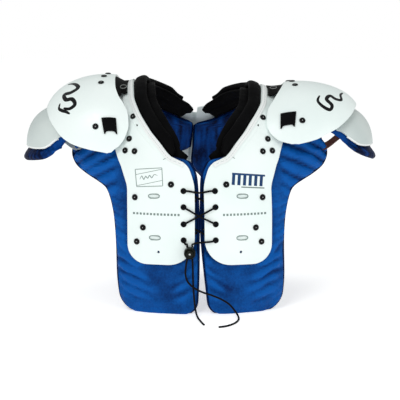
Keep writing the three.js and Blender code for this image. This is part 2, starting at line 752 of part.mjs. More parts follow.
// The collar roll is a rounded bar beside the shell's edge.
function neckRoll(side) {
  const middle = (ROLL_ABOVE - ROLL_BELOW) / 2;
  const half = (ROLL_ABOVE + ROLL_BELOW) / 2;
  const near = PAD_GAP;
  return neckPiece(side, ROLL_SPAN, (along) => {
    const distance = Math.min(along - ROLL_SPAN.from, ROLL_SPAN.to - along) * FORM_LENGTH;
    const full = 0.55 + 0.45 * Math.min(1, distance / ROLL_WIDTH);
    const rounded = (share, lift) => ({
      offset: near + ROLL_WIDTH * (0.5 + (share - 0.5) * full) - (ROLL_WIDTH * (1 - full)) / 2,
      height: middle + lift * half * full,
    });
    return [
      rounded(0, 0.45),
      rounded(0.25, 1),
      rounded(0.75, 0.9),
      rounded(1, 0.3),
      rounded(1, -0.5),
      rounded(0.75, -1),
      rounded(0.25, -1),
      rounded(0, -0.55),
    ];
  });
}

function neckLining(side) {
  const span = { from: LINING_ROWS[0].along, to: LINING_ROWS[LINING_ROWS.length - 1].along };
  return neckPiece(side, span, (along) => {
    const out = lookUp(LINING_ROWS, "along", "out", along) * ROLL_WIDTH;
    const inward = lookUp(LINING_ROWS, "along", "in", along) * ROLL_WIDTH;
    const dive = (offset) => -LINING_GAP - LINING_DROP * THREE.MathUtils.smoothstep(offset, -8, 1);
    const tops = [out, out + (inward - out) * 0.3, out + (inward - out) * 0.65, inward];
    const top = tops.map((offset) => ({ offset, height: dive(offset) }));
    top[3].height -= 2;
    const under = tops.map((offset) => ({ offset, height: dive(offset) - LINING_THICKNESS }));
    under[0].height += 3;
    under[3].height += 2;
    return [...top, ...under.reverse()];
  });
}

// A point over the epaulet: turn and sweep in degrees, height in millimetres out of its surface.
function overEpaulet(side, turn, sweep, height = 0) {
  const surface = (t, s) => {
    const angle = degrees(t);
    const swung = degrees(s - side.swing);
    const outerShare = THREE.MathUtils.clamp((t + 5) / 80, 0, 1);
    const fan = degrees(lookUp(DOME, "turn", "fan", t) + side.fan * outerShare);
    const drop = lookUp(DOME, "turn", "drop", t) * EPAULET_DROP * (1 - Math.cos(swung));
    const depth = lookUp(DOME, "turn", "depth", t) * EPAULET_HALF_DEPTH;
    const x = side.crestX + side.run * Math.sin(angle) - Math.sin(fan) * drop;
    const z = side.crestZ - side.rise * (1 - Math.cos(angle)) - Math.cos(fan) * drop;
    return new THREE.Vector3(side.sign * x, depth * Math.sin(swung), z);
  };
  const point = surface(turn, sweep);
  const acrossWay = surface(turn + 0.5, sweep).sub(surface(turn - 0.5, sweep));
  const alongWay = surface(turn, sweep + 0.5).sub(surface(turn, sweep - 0.5));
  const outward = acrossWay.cross(alongWay).multiplyScalar(side.sign).normalize();
  return { point: point.addScaledVector(outward, height), outward };
}

function epauletEdge(side, column, sweep) {
  return lookUp(EPAULET_EDGES[side.name], "sweep", column, Math.abs(sweep));
}

function epaulet(side) {
  const rings = EPAULET_SWEEPS.map((sweep) => {
    const inner = epauletEdge(side, "inner", sweep);
    const outer = epauletEdge(side, "outer", sweep);
    const at = (k, height) => {
      const turn = inner + ((outer - inner) * k) / EPAULET_COLUMNS;
      return overEpaulet(side, turn, sweep * EPAULET_SWEEP, height).point;
    };
    const columns = Array.from({ length: EPAULET_COLUMNS + 1 }, (_, k) => k);
    const top = columns.map((k) => at(k, 0));
    const under = columns.map((k) => at(k, -EPAULET_WALL));
    return [...top, ...under.reverse()];
  });
  const { rivets, keeperRivet } = FITTINGS[side.name];
  const holes = [...rivets, keeperRivet].map(({ turn, sweep }) =>
    holeTool(overEpaulet(side, turn, sweep, -EPAULET_WALL / 2), RIVET_SHANK + RIVET_CLEARANCE, EPAULET_WALL),
  );
  return cut(loft(rings), holes);
}

// The keeper is a flat loop of elastic with a rounded notch in its lower edge.
function keeper(side) {
  const place = FITTINGS[side.name].keeper;
  const turnSpan = (KEEPER_WIDTH / side.run) * THREE.MathUtils.RAD2DEG;
  const sweepSpan = (KEEPER_LENGTH / EPAULET_DROP) * THREE.MathUtils.RAD2DEG;
  const prong = 0.16;
  const shares = [0, prong - 0.02, prong + 0.02, 0.36, 0.64, 0.98 - prong, 1.02 - prong, 1];
  const rings = shares.map((share) => {
    const inNotch = Math.max(0, 1 - ((share - 0.5) / (0.5 - prong)) ** 2);
    const notch = (KEEPER_NOTCH / KEEPER_LENGTH) * Math.sqrt(inNotch);
    const turn = place.turn + (share - 0.5) * turnSpan;
    const at = (k, height) => {
      const down = notch + ((1 - notch) * k) / 3;
      const sweep = place.sweep + (down - 0.5) * sweepSpan;
      return overEpaulet(side, turn, sweep, height).point;
    };
    const rows = [0, 1, 2, 3];
    const top = rows.map((k) => at(k, TOUCH + KEEPER_THICKNESS));
    const under = rows.map((k) => at(k, TOUCH));
    return [...top, ...under.reverse()];
  });
  return loft(rings);
}

// The strap lies on the shell beside the neck, rises under the epaulet and ends on the deltoid cap.
function shoulderStrap(side) {
  const sweeps = STRAP_SWEEPS.map((share) => share * EPAULET_SWEEP);
  const onShell = (across, lift) => (sweep, height) => {
    const along = 0.5 + (EPAULET_HALF_DEPTH * Math.sin(degrees(sweep))) / FORM_LENGTH;
    return overBody(along, side.sign * across, SHELL_WALL + STRAP_LIFT + lift + height).point;
  };
  const low = -EPAULET_WALL - STRAP_GAP - STRAP_THICKNESS;
  const underEpaulet = (turn) => (sweep, height) => overEpaulet(side, turn, sweep, low + height).point;
  const underEdge = (past) => (sweep, height) => {
    const edge = epauletEdge(side, "inner", sweep / EPAULET_SWEEP);
    return overEpaulet(side, edge + past, sweep, low + height).point;
  };
  const onCap = (turn) => (sweep, height) => overCap(side, turn, sweep * 0.7, CAP_STRAP_GAP + height).point;
  const places = [
    onShell(HALF_WIDTH + 1, 0),
    onShell(HALF_WIDTH + 5, 0.4),
    underEdge(-1.5),
    underEdge(5),
    underEpaulet(0),
    underEpaulet(9),
    onCap(13),
    onCap(19),
  ];
  const rings = places.map((place) => {
    const top = sweeps.map((sweep) => place(sweep, STRAP_THICKNESS));
    const under = sweeps.map((sweep) => place(sweep, 0));
    return [...top, ...under.reverse()];
  });
  return loft(rings);
}

// The arm strap lies on the wing of the front pad, leaves its tip and ends inside the deltoid pad.
function armStrap(side) {
  const seat = ARM_STRAP_SEAT - PAD_GAP;
  const onWing = (along, across) => overBody(along, side.sign * across, seat).point;
  const { along, from, tip } = ARM_STRAP_WING;
  const low = -CAP_WALL - PAD_GAP - CAP_PAD_THICKNESS - ARM_STRAP_DROP;
  const middles = [
    onWing(along, from),
    onWing(along, tip),
    overCap(side, ARM_STRAP_CAP.turn, ARM_STRAP_CAP.sweep, low).point,
  ];
  const upWay = onWing(along + 0.005, tip).sub(onWing(along - 0.005, tip)).normalize();
  const runs = [middles[1].clone().sub(middles[0]), middles[2].clone().sub(middles[1])];
  const ways = [runs[0], runs[0].clone().add(runs[1]), runs[1]].map((run) => run.clone().normalize());
  const rings = middles.map((point, k) => {
    const width = upWay.clone().addScaledVector(ways[k], -upWay.dot(ways[k])).setLength(ARM_STRAP_WIDTH / 2);
    const lift = ways[k].clone().cross(width).setLength(side.sign * STRAP_THICKNESS);
    return [
      point.clone().sub(width).add(lift),
      point.clone().add(width).add(lift),
      point.clone().add(width),
      point.clone().sub(width),
    ];
  });
  return loft(rings);
}

// A point over the deltoid cap: turn from the top of its crest, sweep front to back, in degrees.
function overCap(side, turn, sweep, height = 0) {
  const surface = (t, s) => {
    const angle = degrees(t);
    const share = (t - CAP_EDGE[0].first) / (CAP_EDGE[0].last - CAP_EDGE[0].first);
    const fan = degrees(CAP_FAN.first + (CAP_FAN.last - CAP_FAN.first) * THREE.MathUtils.clamp(share, 0, 1.1));
    const reach = CAP_REACH * (1 - Math.cos(degrees(s)));
    const x = CAP_CREST_X + CAP_CREST_RUN * Math.sin(angle) - Math.sin(fan) * reach;
    const z = CAP_CREST_Z + CAP_CREST_RISE * Math.cos(angle) - Math.cos(fan) * reach;
    return new THREE.Vector3(side.sign * x, CAP_HALF_DEPTH * Math.sin(degrees(s)), z);
  };
  const point = surface(turn, sweep);
  const acrossWay = surface(turn + 0.5, sweep).sub(surface(turn - 0.5, sweep));
  const alongWay = surface(turn, sweep + 0.5).sub(surface(turn, sweep - 0.5));
  const outward = acrossWay.cross(alongWay).multiplyScalar(side.sign).normalize();
  return { point: point.addScaledVector(outward, height), outward };
}

// Rings of a piece on the cap form. A share over 1 lies beyond the cap's rim.
function capRings(side, shares, heights) {
  return CAP_SWEEPS.map((sweep) => {
    const first = capEdge("first", sweep);
    const last = capEdge("last", sweep);
    const at = (share, height) =>
      overCap(side, first + (last - first) * share, sweep * CAP_SWEEP, height).point;
    const top = shares.map((share) => at(share, heights(share, sweep).top));
    const under = shares.map((share) => at(share, heights(share, sweep).under));
    return [...top, ...under.reverse()];
  });
}

function capEdge(column, sweep) {
  return lookUp(CAP_EDGE, "sweep", column, Math.abs(sweep));
}

function deltoidCap(side) {
  return loft(capRings(side, CAP_SHARES, () => ({ top: 0, under: -CAP_WALL })));
}

function deltoidPad(side) {
  const shares = [...CAP_SHARES, 1 + CAP_PAD_MARGIN / CAP_CREST_RISE];
  const heights = (share, sweep) => {
    const rim = share > 1 || share === 0 || Math.abs(sweep) === 1 ? CAP_PAD_THICKNESS / 4 : 0;
    const top = -CAP_WALL - PAD_GAP - (share > 1 ? 0 : rim / 2);
    return { top, under: -CAP_WALL - PAD_GAP - CAP_PAD_THICKNESS + rim };
  };
  return loft(capRings(side, shares, heights));
}

function backBridge() {
  const low = SHELL_WALL + BRIDGE_GAP;
  const high = low + BRIDGE_WALL;
  const count = 5;
  const rings = Array.from({ length: count + 1 }, (_, k) => {
    const along = BRIDGE.from + ((BRIDGE.to - BRIDGE.from) * k) / count;
    const inset = k === 0 || k === count ? 0.06 : 0;
    const left = (BRIDGE.left + inset) * HALF_WIDTH;
    const right = (BRIDGE.right - inset) * HALF_WIDTH;
    const columns = [0, 0.25, 0.5, 0.75, 1].map((share) => left + (right - left) * share);
    const top = columns.map((across) => overBody(along, across, high).point);
    const under = columns.map((across) => overBody(along, across, low).point);
    return [...top, ...under.reverse()];
  });
  const holes = SIDES.flatMap((side) =>
    SHELL_RIVETS.filter((row) => row.bridged).map((row) => {
      const place = overBody(row.along, side.sign * row.across * HALF_WIDTH, low);
      return holeTool(place, RIVET_SHANK + RIVET_CLEARANCE, 2 * SHELL_WALL);
    }),
  );
  return cut(loft(rings), holes);
}

// A rivet: low domed head, and a shank that fills the wall under it.
function rivet(wall) {
  const profile = [
    [0, RIVET_HEIGHT],
    [RIVET_HEAD, 0],
    [RIVET_SHANK, 0],
    [RIVET_SHANK, -wall - TOUCH],
    [0, -wall - TOUCH],
  ];
  const points = profile.map(([radius, height]) => new THREE.Vector2(radius, height)).reverse();
  return new THREE.LatheGeometry(points, RIVET_SIDES);
}

function addRivets(side) {
  const add = (name, place, wall) => seat(addPiece(name, rivet(wall), "rivet"), place);
  SHELL_RIVETS.forEach((row, k) => {
    const wall = row.bridged ? SHELL_WALL + BRIDGE_GAP + BRIDGE_WALL : SHELL_WALL;
    const place = overBody(row.along, side.sign * row.across * HALF_WIDTH, wall + TOUCH);
    add(`${side.name}_rivet_${k + 1}`, place, wall);
  });
  const { rivets, keeperRivet } = FITTINGS[side.name];
  const onEpaulet = ({ turn, sweep }) => overEpaulet(side, turn, sweep, TOUCH);
  rivets.forEach((row, k) => add(`${side.name}_epaulet_rivet_${k + 1}`, onEpaulet(row), EPAULET_WALL - TOUCH));
  add(`${side.name}_keeper_rivet`, onEpaulet(keeperRivet), EPAULET_WALL - TOUCH);
}

// A curve whose stations fall on its own points, so that tight bends get as many as they need.
class PointedCurve extends THREE.CatmullRomCurve3 {
  getPointAt(t, target) {
    return this.getPoint(t, target);
  }
  getTangentAt(t, target) {
    return this.getTangent(t, target);
  }
}

function cordSection() {
  const corners = Array.from({ length: LACE_SIDES }, (_, k) => {
    const angle = (2 * Math.PI * k) / LACE_SIDES;
    return new THREE.Vector2(LACE_RADIUS * Math.cos(angle), LACE_RADIUS * Math.sin(angle));
  });
  return new THREE.Shape(corners);
}

function cordAlong(points, stepsBetween) {
  const path = new PointedCurve(points, false, "centripetal");
  return new THREE.ExtrudeGeometry(cordSection(), {
    extrudePath: path,
    steps: (points.length - 1) * stepsBetween,
    bevelEnabled: false,
  });
}

const LACE_OVER = SHELL_WALL + TOUCH + LACE_RADIUS;
const LACE_UNDER = -LACE_SLACK - LACE_RADIUS;
const LACE_PASS = 2 * LACE_RADIUS + TOUCH; // height of one strand over another

// Points of the lace where it turns from outside to inside at an eyelet, entering from one
// direction and leaving in the other. Directions are unit steps along and across.
function throughEyelet(along, sign, enter, leave) {
  const at = (step, distance, height) =>
    overBody(
      along + (step.along * distance) / FORM_LENGTH,
      sign * EYELET_ACROSS + step.across * distance,
      height,
    ).point;
  return [
    at(enter, 6, LACE_OVER),
    at(enter, 2.4, LACE_OVER + 0.2),
    at(enter, 0.5, SHELL_WALL + 0.5),
    at(leave, 0.5, -0.5),
    at(leave, 2.6, LACE_UNDER - 0.2),
    at(leave, 6, LACE_UNDER),
  ];
}

function direction(fromAlong, fromAcross, toAlong, toAcross) {
  const along = (toAlong - fromAlong) * FORM_LENGTH;
  const across = toAcross - fromAcross;
  const length = Math.hypot(along, across);
  return { along: along / length, across: across / length };
}

// The middle of a strand between two eyelets, lifted where it passes over the other strand.
function strandMiddle(fromAlong, toAlong, height) {
  return overBody((fromAlong + toAlong) / 2, 0, height).point;
}

// Half of the lacing, from the top bar down to the lock. sign is the side where it starts.
function laceHalf(sign) {
  const [first, second, third, fourth] = EYELETS;
  const lift = sign > 0 ? 1 : 0;
  const way = (a, b, s) => direction(a, s * EYELET_ACROSS, b, -s * EYELET_ACROSS);
  const back = (step) => ({ along: -step.along, across: -step.across });
  const bar = { along: 0, across: -sign };
  const under1 = way(first, second, sign);
  const over = way(second, third, -sign);
  const under2 = way(third, fourth, sign);
  const lockStrand = lockEnd(-sign);
  const toLock = direction(fourth, -sign * EYELET_ACROSS, fourth - 0.012, LOCK_X - sign * LOCK_EXIT);
  return [
    ...throughEyelet(first, sign, bar, under1),
    strandMiddle(first, second, LACE_UNDER - LACE_PASS * lift),
    ...throughEyelet(second, -sign, over, back(under1)).reverse(),
    strandMiddle(second, third, LACE_OVER + LACE_PASS * lift),
    ...throughEyelet(third, sign, back(over), under2),
    strandMiddle(third, fourth, LACE_UNDER - LACE_PASS * lift),
    ...throughEyelet(fourth, -sign, toLock, back(under2)).reverse(),
    ...lockStrand,
  ];
}

// The last stretch of a strand, into the top of the lock. sign is the side of its eyelet.
function lockEnd(sign) {
  const x = LOCK_X + sign * LOCK_EXIT;
  const top = LOCK_Z + Math.sqrt(LOCK_RADIUS ** 2 - LOCK_EXIT ** 2) + TOUCH;
  const y = lockBack() - LOCK_LENGTH / 2;
  return [new THREE.Vector3(x, y + 1.5, top + 5), new THREE.Vector3(x, y, top + 0.6)];
}

// The face of the front plate behind the lock.
function lockBack() {
  let along = 0.1;
  for (let k = 0; k < 8; k++) along += (LOCK_Z - overBody(along, LOCK_X, SHELL_WALL).point.z) / FORM_LENGTH;
  return overBody(along, LOCK_X, SHELL_WALL).point.y - TOUCH;
}

function lace() {
  const leftHalf = laceHalf(-1).reverse();
  const rightHalf = laceHalf(1);
  const bar = [0.25, 0, -0.25].map((share) =>
    overBody(EYELETS[0] - 0.003 * (1 - Math.abs(share)), -share * EYELET_ACROSS, LACE_OVER).point,
  );
  return cordAlong([...leftHalf, ...bar, ...rightHalf], 1);
}

function lockBarrel() {
  const profile = [
    [0, LOCK_LENGTH],
    [LOCK_RADIUS - 1, LOCK_LENGTH],
    [LOCK_RADIUS, LOCK_LENGTH - 1.5],
    [LOCK_RADIUS, 1.5],
    [LOCK_RADIUS - 1, 0],
    [BUTTON_RADIUS + BUTTON_CLEARANCE, 0],
    [BUTTON_RADIUS + BUTTON_CLEARANCE, LOCK_LENGTH - LOCK_FLOOR],
    [0, LOCK_LENGTH - LOCK_FLOOR],
  ];
  const points = profile.map(([radius, depth]) => new THREE.Vector2(radius, depth)).reverse();
  return new THREE.LatheGeometry(points, LOCK_SIDES);
}

function lockButton() {
  const inside = LOCK_LENGTH - LOCK_FLOOR - BUTTON_TRAVEL - TOUCH;
  const profile = [
    [0, inside],
    [BUTTON_RADIUS, inside],
    [BUTTON_RADIUS, -BUTTON_PROUD + 1],
    [BUTTON_RADIUS - 1, -BUTTON_PROUD],
    [0, -BUTTON_PROUD],
  ];
  const points = profile.map(([radius, depth]) => new THREE.Vector2(radius, depth)).reverse();
  return new THREE.LatheGeometry(points, LOCK_SIDES);
}

function addLock() {
  const front = lockBack() - LOCK_LENGTH;
  const barrel = addPiece("cord_lock_barrel", lockBarrel(), "lock");
  const button = addPiece("cord_lock_button", lockButton(), "button");
  for (const piece of [barrel, button]) piece.position.set(LOCK_X, front, LOCK_Z);
}

const bySide = [
  ["body_arch", bodyArch, "shell"],
  ["neck_binding", neckBinding, "binding"],
  ["neck_roll", neckRoll, "collar"],
  ["neck_lining", neckLining, "collar"],
  ["front_pad", frontPad, "nylon"],
  ["back_pad", backPad, "nylon"],
  ["epaulet", epaulet, "shell"],
  ["keeper", keeper, "webbing"],
  ["shoulder_strap", shoulderStrap, "webbing"],
  ["deltoid_cap", deltoidCap, "cap"],
  ["deltoid_pad", deltoidPad, "nylon"],
  ["arm_strap", armStrap, "leather"],
];
for (const side of SIDES) {
  for (const [name, make, colour] of bySide) addPiece(`${side.name}_${name}`, make(side), colour);
  addRivets(side);
}
addPiece("back_bridge", backBridge(), "shell");
addPiece("lace", lace(), "lace");
addLock();
// The part stands over the middle of its own footprint, the free ends of the lace not counted.
const footprint = new THREE.Box3();
for (const piece of root.children) footprint.expandByObject(piece, true);
const middle = footprint.getCenter(new THREE.Vector3());
const tails = [
  ["lace_tail_a", TAIL_A_ROUTE],
  ["lace_tail_b", TAIL_B_ROUTE],
];
for (const [name, route] of tails) addPiece(name, cordAlong(route.map((p) => new THREE.Vector3(...p)), 1), "lace");
for (const piece of root.children) {
  piece.position.x -= middle.x;
  piece.position.y -= middle.y;
}

export default root;
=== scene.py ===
# %% [markdown]
# # A youth football shoulder pad
# The real thing is a pair of moulded plastic shells worn over the chest and the shoulders, with quilted
# nylon pads riveted under them, domed epaulets and caps over the arms, and a lace down the front.
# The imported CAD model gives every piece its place. Blender dresses each one with its own surface.

import math

import bmesh
import bpy
import numpy as np
from mathutils import Matrix, Vector, noise


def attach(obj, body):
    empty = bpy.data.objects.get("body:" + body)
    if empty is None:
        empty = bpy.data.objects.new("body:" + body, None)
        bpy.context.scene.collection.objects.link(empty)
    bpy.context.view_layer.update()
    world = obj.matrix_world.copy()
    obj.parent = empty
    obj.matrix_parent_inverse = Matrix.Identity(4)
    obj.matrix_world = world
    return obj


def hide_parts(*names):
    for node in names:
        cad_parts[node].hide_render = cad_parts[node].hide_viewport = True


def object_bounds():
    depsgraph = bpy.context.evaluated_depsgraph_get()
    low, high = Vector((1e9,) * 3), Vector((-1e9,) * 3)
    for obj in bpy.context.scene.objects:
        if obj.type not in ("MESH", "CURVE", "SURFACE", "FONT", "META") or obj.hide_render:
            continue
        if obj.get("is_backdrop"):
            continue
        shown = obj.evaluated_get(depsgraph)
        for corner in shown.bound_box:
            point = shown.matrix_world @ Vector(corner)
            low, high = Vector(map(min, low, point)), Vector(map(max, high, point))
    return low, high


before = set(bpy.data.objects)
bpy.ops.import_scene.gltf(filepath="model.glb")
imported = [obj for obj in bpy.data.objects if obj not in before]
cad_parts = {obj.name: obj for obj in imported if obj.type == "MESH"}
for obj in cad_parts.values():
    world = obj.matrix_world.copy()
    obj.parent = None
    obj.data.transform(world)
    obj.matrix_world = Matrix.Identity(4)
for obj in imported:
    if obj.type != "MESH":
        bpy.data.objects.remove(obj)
cad_box = [list(corner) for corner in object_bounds()]
print("CAD box", [[round(x, 4) for x in corner] for corner in cad_box])

# %% [markdown]
# ## Camera, floor and light
# A shop photograph of sports gear is taken from far away with a long lens, so that the two halves keep
# their proportions. The camera stands 1.9 m off and a little above the chest. A small shift puts the
# object where the picture frame has it. Large soft lamps and a white world give the flat studio light.

# %% Camera
CAMERA_DISTANCE = 1.9
CAMERA_ELEVATION = math.radians(9)
FOCAL_LENGTH = 104.58
PICTURE_SHIFT = (0.00075, -0.0175)
AIM = Vector((0, 0.015, 0.163))

lens = bpy.data.cameras.new("camera")
lens.sensor_width = 36
lens.lens = FOCAL_LENGTH
lens.shift_x, lens.shift_y = PICTURE_SHIFT
camera = bpy.data.objects.new("camera", lens)
toward_camera = Vector((0, -math.cos(CAMERA_ELEVATION), math.sin(CAMERA_ELEVATION)))
camera.location = AIM + CAMERA_DISTANCE * toward_camera
camera.rotation_euler = (math.pi / 2 - CAMERA_ELEVATION, 0, 0)
bpy.context.scene.collection.objects.link(camera)
bpy.context.scene.camera = camera
print("camera at", tuple(round(x, 3) for x in camera.location))


# %% Floor, lamps and sky
LAMP_AIM = Vector((0, 0, 0.2))
LAMPS = {  # place, size and power
    "key_lamp": ((-0.8, -1.7, 1.9), 1.2, 17),
    "fill_lamp": ((1.6, -1.5, 0.9), 1.2, 6),
    "top_lamp": ((0.1, 0.5, 2.3), 1.4, 3),
}
FLOOR_GLOW = 0.5
AMBIENT = (0.98, 1, 0.995, 1)
AMBIENT_STRENGTH = 0.55


def new_material(name, colour, roughness, **settings):
    """A Principled material. The settings go on the shader's own sockets."""
    made = bpy.data.materials.new(name)
    made.use_nodes = True
    shader = made.node_tree.nodes["Principled BSDF"]
    shader.inputs["Base Color"].default_value = (*colour, 1)
    shader.inputs["Roughness"].default_value = roughness
    for socket, value in settings.items():
        shader.inputs[socket.replace("_", " ")].default_value = value
    return made


floor_mesh = bmesh.new()
bmesh.ops.create_grid(floor_mesh, x_segments=1, y_segments=1, size=9)
floor_data = bpy.data.meshes.new("floor")
floor_mesh.to_mesh(floor_data)
floor_mesh.free()
floor = bpy.data.objects.new("floor", floor_data)
bpy.context.scene.collection.objects.link(floor)
glow = {"Emission_Color": (1, 1, 1, 1), "Emission_Strength": FLOOR_GLOW}
floor_data.materials.append(new_material("floor_paper", (0.93, 0.93, 0.93), 0.9, **glow))
floor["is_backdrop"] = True

for name, (place, size, power) in LAMPS.items():
    light = bpy.data.lights.new(name, "AREA")
    light.shape = "DISK"
    light.size = size
    light.energy = power
    lamp = bpy.data.objects.new(name, light)
    lamp.location = place
    lamp.rotation_euler = (LAMP_AIM - Vector(place)).to_track_quat("-Z", "Y").to_euler()
    bpy.context.scene.collection.objects.link(lamp)

sky = bpy.data.worlds.new("studio")
sky.use_nodes = True
tree = sky.node_tree
backdrop = tree.nodes["Background"]
backdrop.inputs["Color"].default_value = (1, 1, 1, 1)
backdrop.inputs["Strength"].default_value = 1.0
ambient = tree.nodes.new("ShaderNodeBackground")
ambient.inputs["Color"].default_value = AMBIENT
ambient.inputs["Strength"].default_value = AMBIENT_STRENGTH
rays = tree.nodes.new("ShaderNodeLightPath")
either = tree.nodes.new("ShaderNodeMixShader")
tree.links.new(rays.outputs["Is Camera Ray"], either.inputs["Fac"])
tree.links.new(ambient.outputs["Background"], either.inputs[1])
tree.links.new(backdrop.outputs["Background"], either.inputs[2])
tree.links.new(either.outputs["Shader"], tree.nodes["World Output"].inputs["Surface"])
bpy.context.scene.world = sky
bpy.context.scene.view_settings.view_transform = "Standard"
print("floor, three lamps and the sky")

# %% [markdown]
# ## Material helpers
# Plastic, nylon and webbing differ in how rough they are and in what breaks their colour up. Each
# finish here is the Principled shader with a few texture nodes in front of it. Patterns that follow the
# cloth read the piece's own UV map, which is in metres, so a weave has its real size everywhere.


# %% Node helpers
def add_node(material, kind, inputs=None, **settings):
    made = material.node_tree.nodes.new(kind)
    for name, value in settings.items():
        setattr(made, name, value)
    for name, value in (inputs or {}).items():
        socket = made.inputs[name]
        if isinstance(value, bpy.types.NodeSocket):
            material.node_tree.links.new(value, socket)
        else:
            socket.default_value = value
    return made


def drive(material, socket, source):
    """Links a value to an input of the material's shader."""
    material.node_tree.links.new(source, material.node_tree.nodes["Principled BSDF"].inputs[socket])


def coordinates(material, kind):
    return add_node(material, "ShaderNodeTexCoord").outputs[kind]


def two_tone(material, share, first, second):
    """Colour between two colours by a 0..1 share."""
    inputs = {"Factor": share, "A": (*first, 1), "B": (*second, 1)}
    return add_node(material, "ShaderNodeMix", inputs, data_type="RGBA").outputs["Result"]


def spread(material, source, low, high, to_low=0.0, to_high=1.0):
    """Stretches a value from low..high to to_low..to_high."""
    inputs = {"Value": source, "From Min": low, "From Max": high, "To Min": to_low, "To Max": to_high}
    return add_node(material, "ShaderNodeMapRange", inputs).outputs["Result"]


def clouds(material, vector, scale, detail=3.0):
    inputs = {"Vector": vector, "Scale": scale, "Detail": detail}
    return add_node(material, "ShaderNodeTexNoise", inputs).outputs["Fac"]


def bump(material, height, strength, distance, under=None):
    inputs = {"Height": height, "Strength": strength, "Distance": distance}
    if under is not None:
        inputs["Normal"] = under
    return add_node(material, "ShaderNodeBump", inputs).outputs["Normal"]


def combine(material, operation, a, b):
    made = add_node(material, "ShaderNodeMath", operation=operation)
    for socket, value in zip(made.inputs, (a, b)):
        if isinstance(value, bpy.types.NodeSocket):
            material.node_tree.links.new(value, socket)
        else:
            socket.default_value = value
    return made.outputs[0]


# %% Weave and plastic
def weave_height(material, pitch):
    """Plain weave of threads, pitch metres apart, over and under each other in UV metres."""
    split = add_node(material, "ShaderNodeSeparateXYZ", {"Vector": coordinates(material, "UV")})
    turns = 2 * math.pi / pitch
    waves = [combine(material, "MULTIPLY", split.outputs[axis], turns) for axis in "XY"]
    return combine(material, "MULTIPLY", *(combine(material, "SINE", wave, 0) for wave in waves))


def cloth_finish(name, light, dark, roughness, pitch, sheen=0.1, relief=0.00012, gloss=0.3):
    """Woven cloth with slightly darker patches, a fine crinkle and threads pitch metres apart."""
    made = new_material(
        name, light, roughness, Sheen_Weight=sheen, Sheen_Roughness=0.4, Specular_IOR_Level=gloss)
    place = coordinates(made, "Object")
    patches = spread(made, clouds(made, place, 22, 4), 0.3, 0.72)
    drive(made, "Base Color", two_tone(made, patches, dark, light))
    worn = clouds(made, place, 60, 2)
    drive(made, "Roughness", spread(made, worn, 0.2, 0.8, roughness - 0.08, roughness + 0.1))
    crinkle = bump(made, clouds(made, place, 190, 3), 0.25, 0.0005)
    drive(made, "Normal", bump(made, weave_height(made, pitch), 0.5, relief, crinkle))
    return made


def plastic_finish(name, light, dark, roughness, gloss=0.5):
    """Moulded plastic with a faint haze, fine scuffs and a slightly uneven face."""
    made = new_material(name, light, roughness, Specular_IOR_Level=gloss)
    place = coordinates(made, "Object")
    haze = spread(made, clouds(made, place, 9, 3), 0.32, 0.7)
    drive(made, "Base Color", two_tone(made, haze, dark, light))
    scuffs = clouds(made, place, 150, 5)
    drive(made, "Roughness", spread(made, scuffs, 0.35, 0.75, roughness - 0.06, roughness + 0.12))
    drive(made, "Normal", bump(made, clouds(made, place, 26, 3), 0.12, 0.0003))
    return made


def pad_finish(name, light, dark, roughness, gloss):
    """Nylon with painted shade deepening its colour in the folds and painted light on its ridges, which the
    mesh marks in its attribute fold.
    """
    made = cloth_finish(name, light, dark, roughness, 0.0011, 0.0, gloss=gloss)
    mark = add_node(made, "ShaderNodeAttribute", attribute_name="fold").outputs["Fac"]
    place = coordinates(made, "Object")
    cloud = spread(made, clouds(made, place, 30, 5), 0.3, 0.7, -0.18, 0.18)
    grain = spread(made, clouds(made, place, 330, 4), 0.3, 0.7, -0.13, 0.13)
    marked = combine(made, "ADD", mark, combine(made, "ADD", cloud, grain))
    drive(made, "Base Color", two_tone(made, spread(made, marked, 0.12, 0.9), dark, light))
    return made


# %% Finishes
SHELL = plastic_finish("shell_plastic", (0.86, 0.93, 0.91), (0.8, 0.89, 0.87), 0.34)
# The caps' plastic is the shell's made greyer: painted shade, for the caps face sideways.
SHADED_CAP_PLASTIC = plastic_finish("cap_plastic_painted_shade", (0.62, 0.68, 0.66), (0.5, 0.57, 0.56), 0.4)
RIM = plastic_finish("rim_trim", (0.88, 0.9, 0.89), (0.8, 0.84, 0.83), 0.4)
# The nylons mix their light and dark colours by the attribute fold, which paints light and shade on the pads.
NYLON = pad_finish("blue_nylon", (0.0022, 0.092, 0.38), (0.0002, 0.019, 0.105), 0.45, 0.07)
TAPE = cloth_finish("edge_tape", (0.001, 0.014, 0.08), (0.0004, 0.006, 0.035), 0.6, 0.0016, 0.0, gloss=0.05)
NAVY = pad_finish("navy_nylon", (0.0018, 0.055, 0.27), (0.0003, 0.004, 0.028), 0.45, 0.05)
LINER = pad_finish("dark_liner", (0.0015, 0.06, 0.30), (0.0004, 0.004, 0.03), 0.4, 0.08)
COLLAR = cloth_finish(
    "black_padding", (0.003, 0.003, 0.0035), (0.0008, 0.0008, 0.001), 0.6, 0.0014, 0.0, gloss=0.04)
BINDING = cloth_finish("white_binding", (0.87, 0.89, 0.88), (0.8, 0.83, 0.82), 0.62, 0.0013, 0.0, gloss=0.2)
WEBBING = cloth_finish(
    "black_webbing", (0.003, 0.003, 0.0035), (0.001, 0.001, 0.0012), 0.6, 0.0026, 0.0, 0.0004, 0.06)
BROWN = cloth_finish("brown_strap", (0.13, 0.045, 0.03), (0.06, 0.02, 0.014), 0.6, 0.0018)
PALE = cloth_finish("pale_strap", (0.6, 0.64, 0.62), (0.45, 0.5, 0.5), 0.6, 0.0018)
LACE = cloth_finish(
    "black_lace", (0.005, 0.005, 0.006), (0.0015, 0.0015, 0.002), 0.6, 0.0022, 0.0, 0.0005, 0.1)
ENAMEL = plastic_finish("black_enamel", (0.003, 0.003, 0.004), (0.0015, 0.0015, 0.002), 0.3, gloss=0.15)
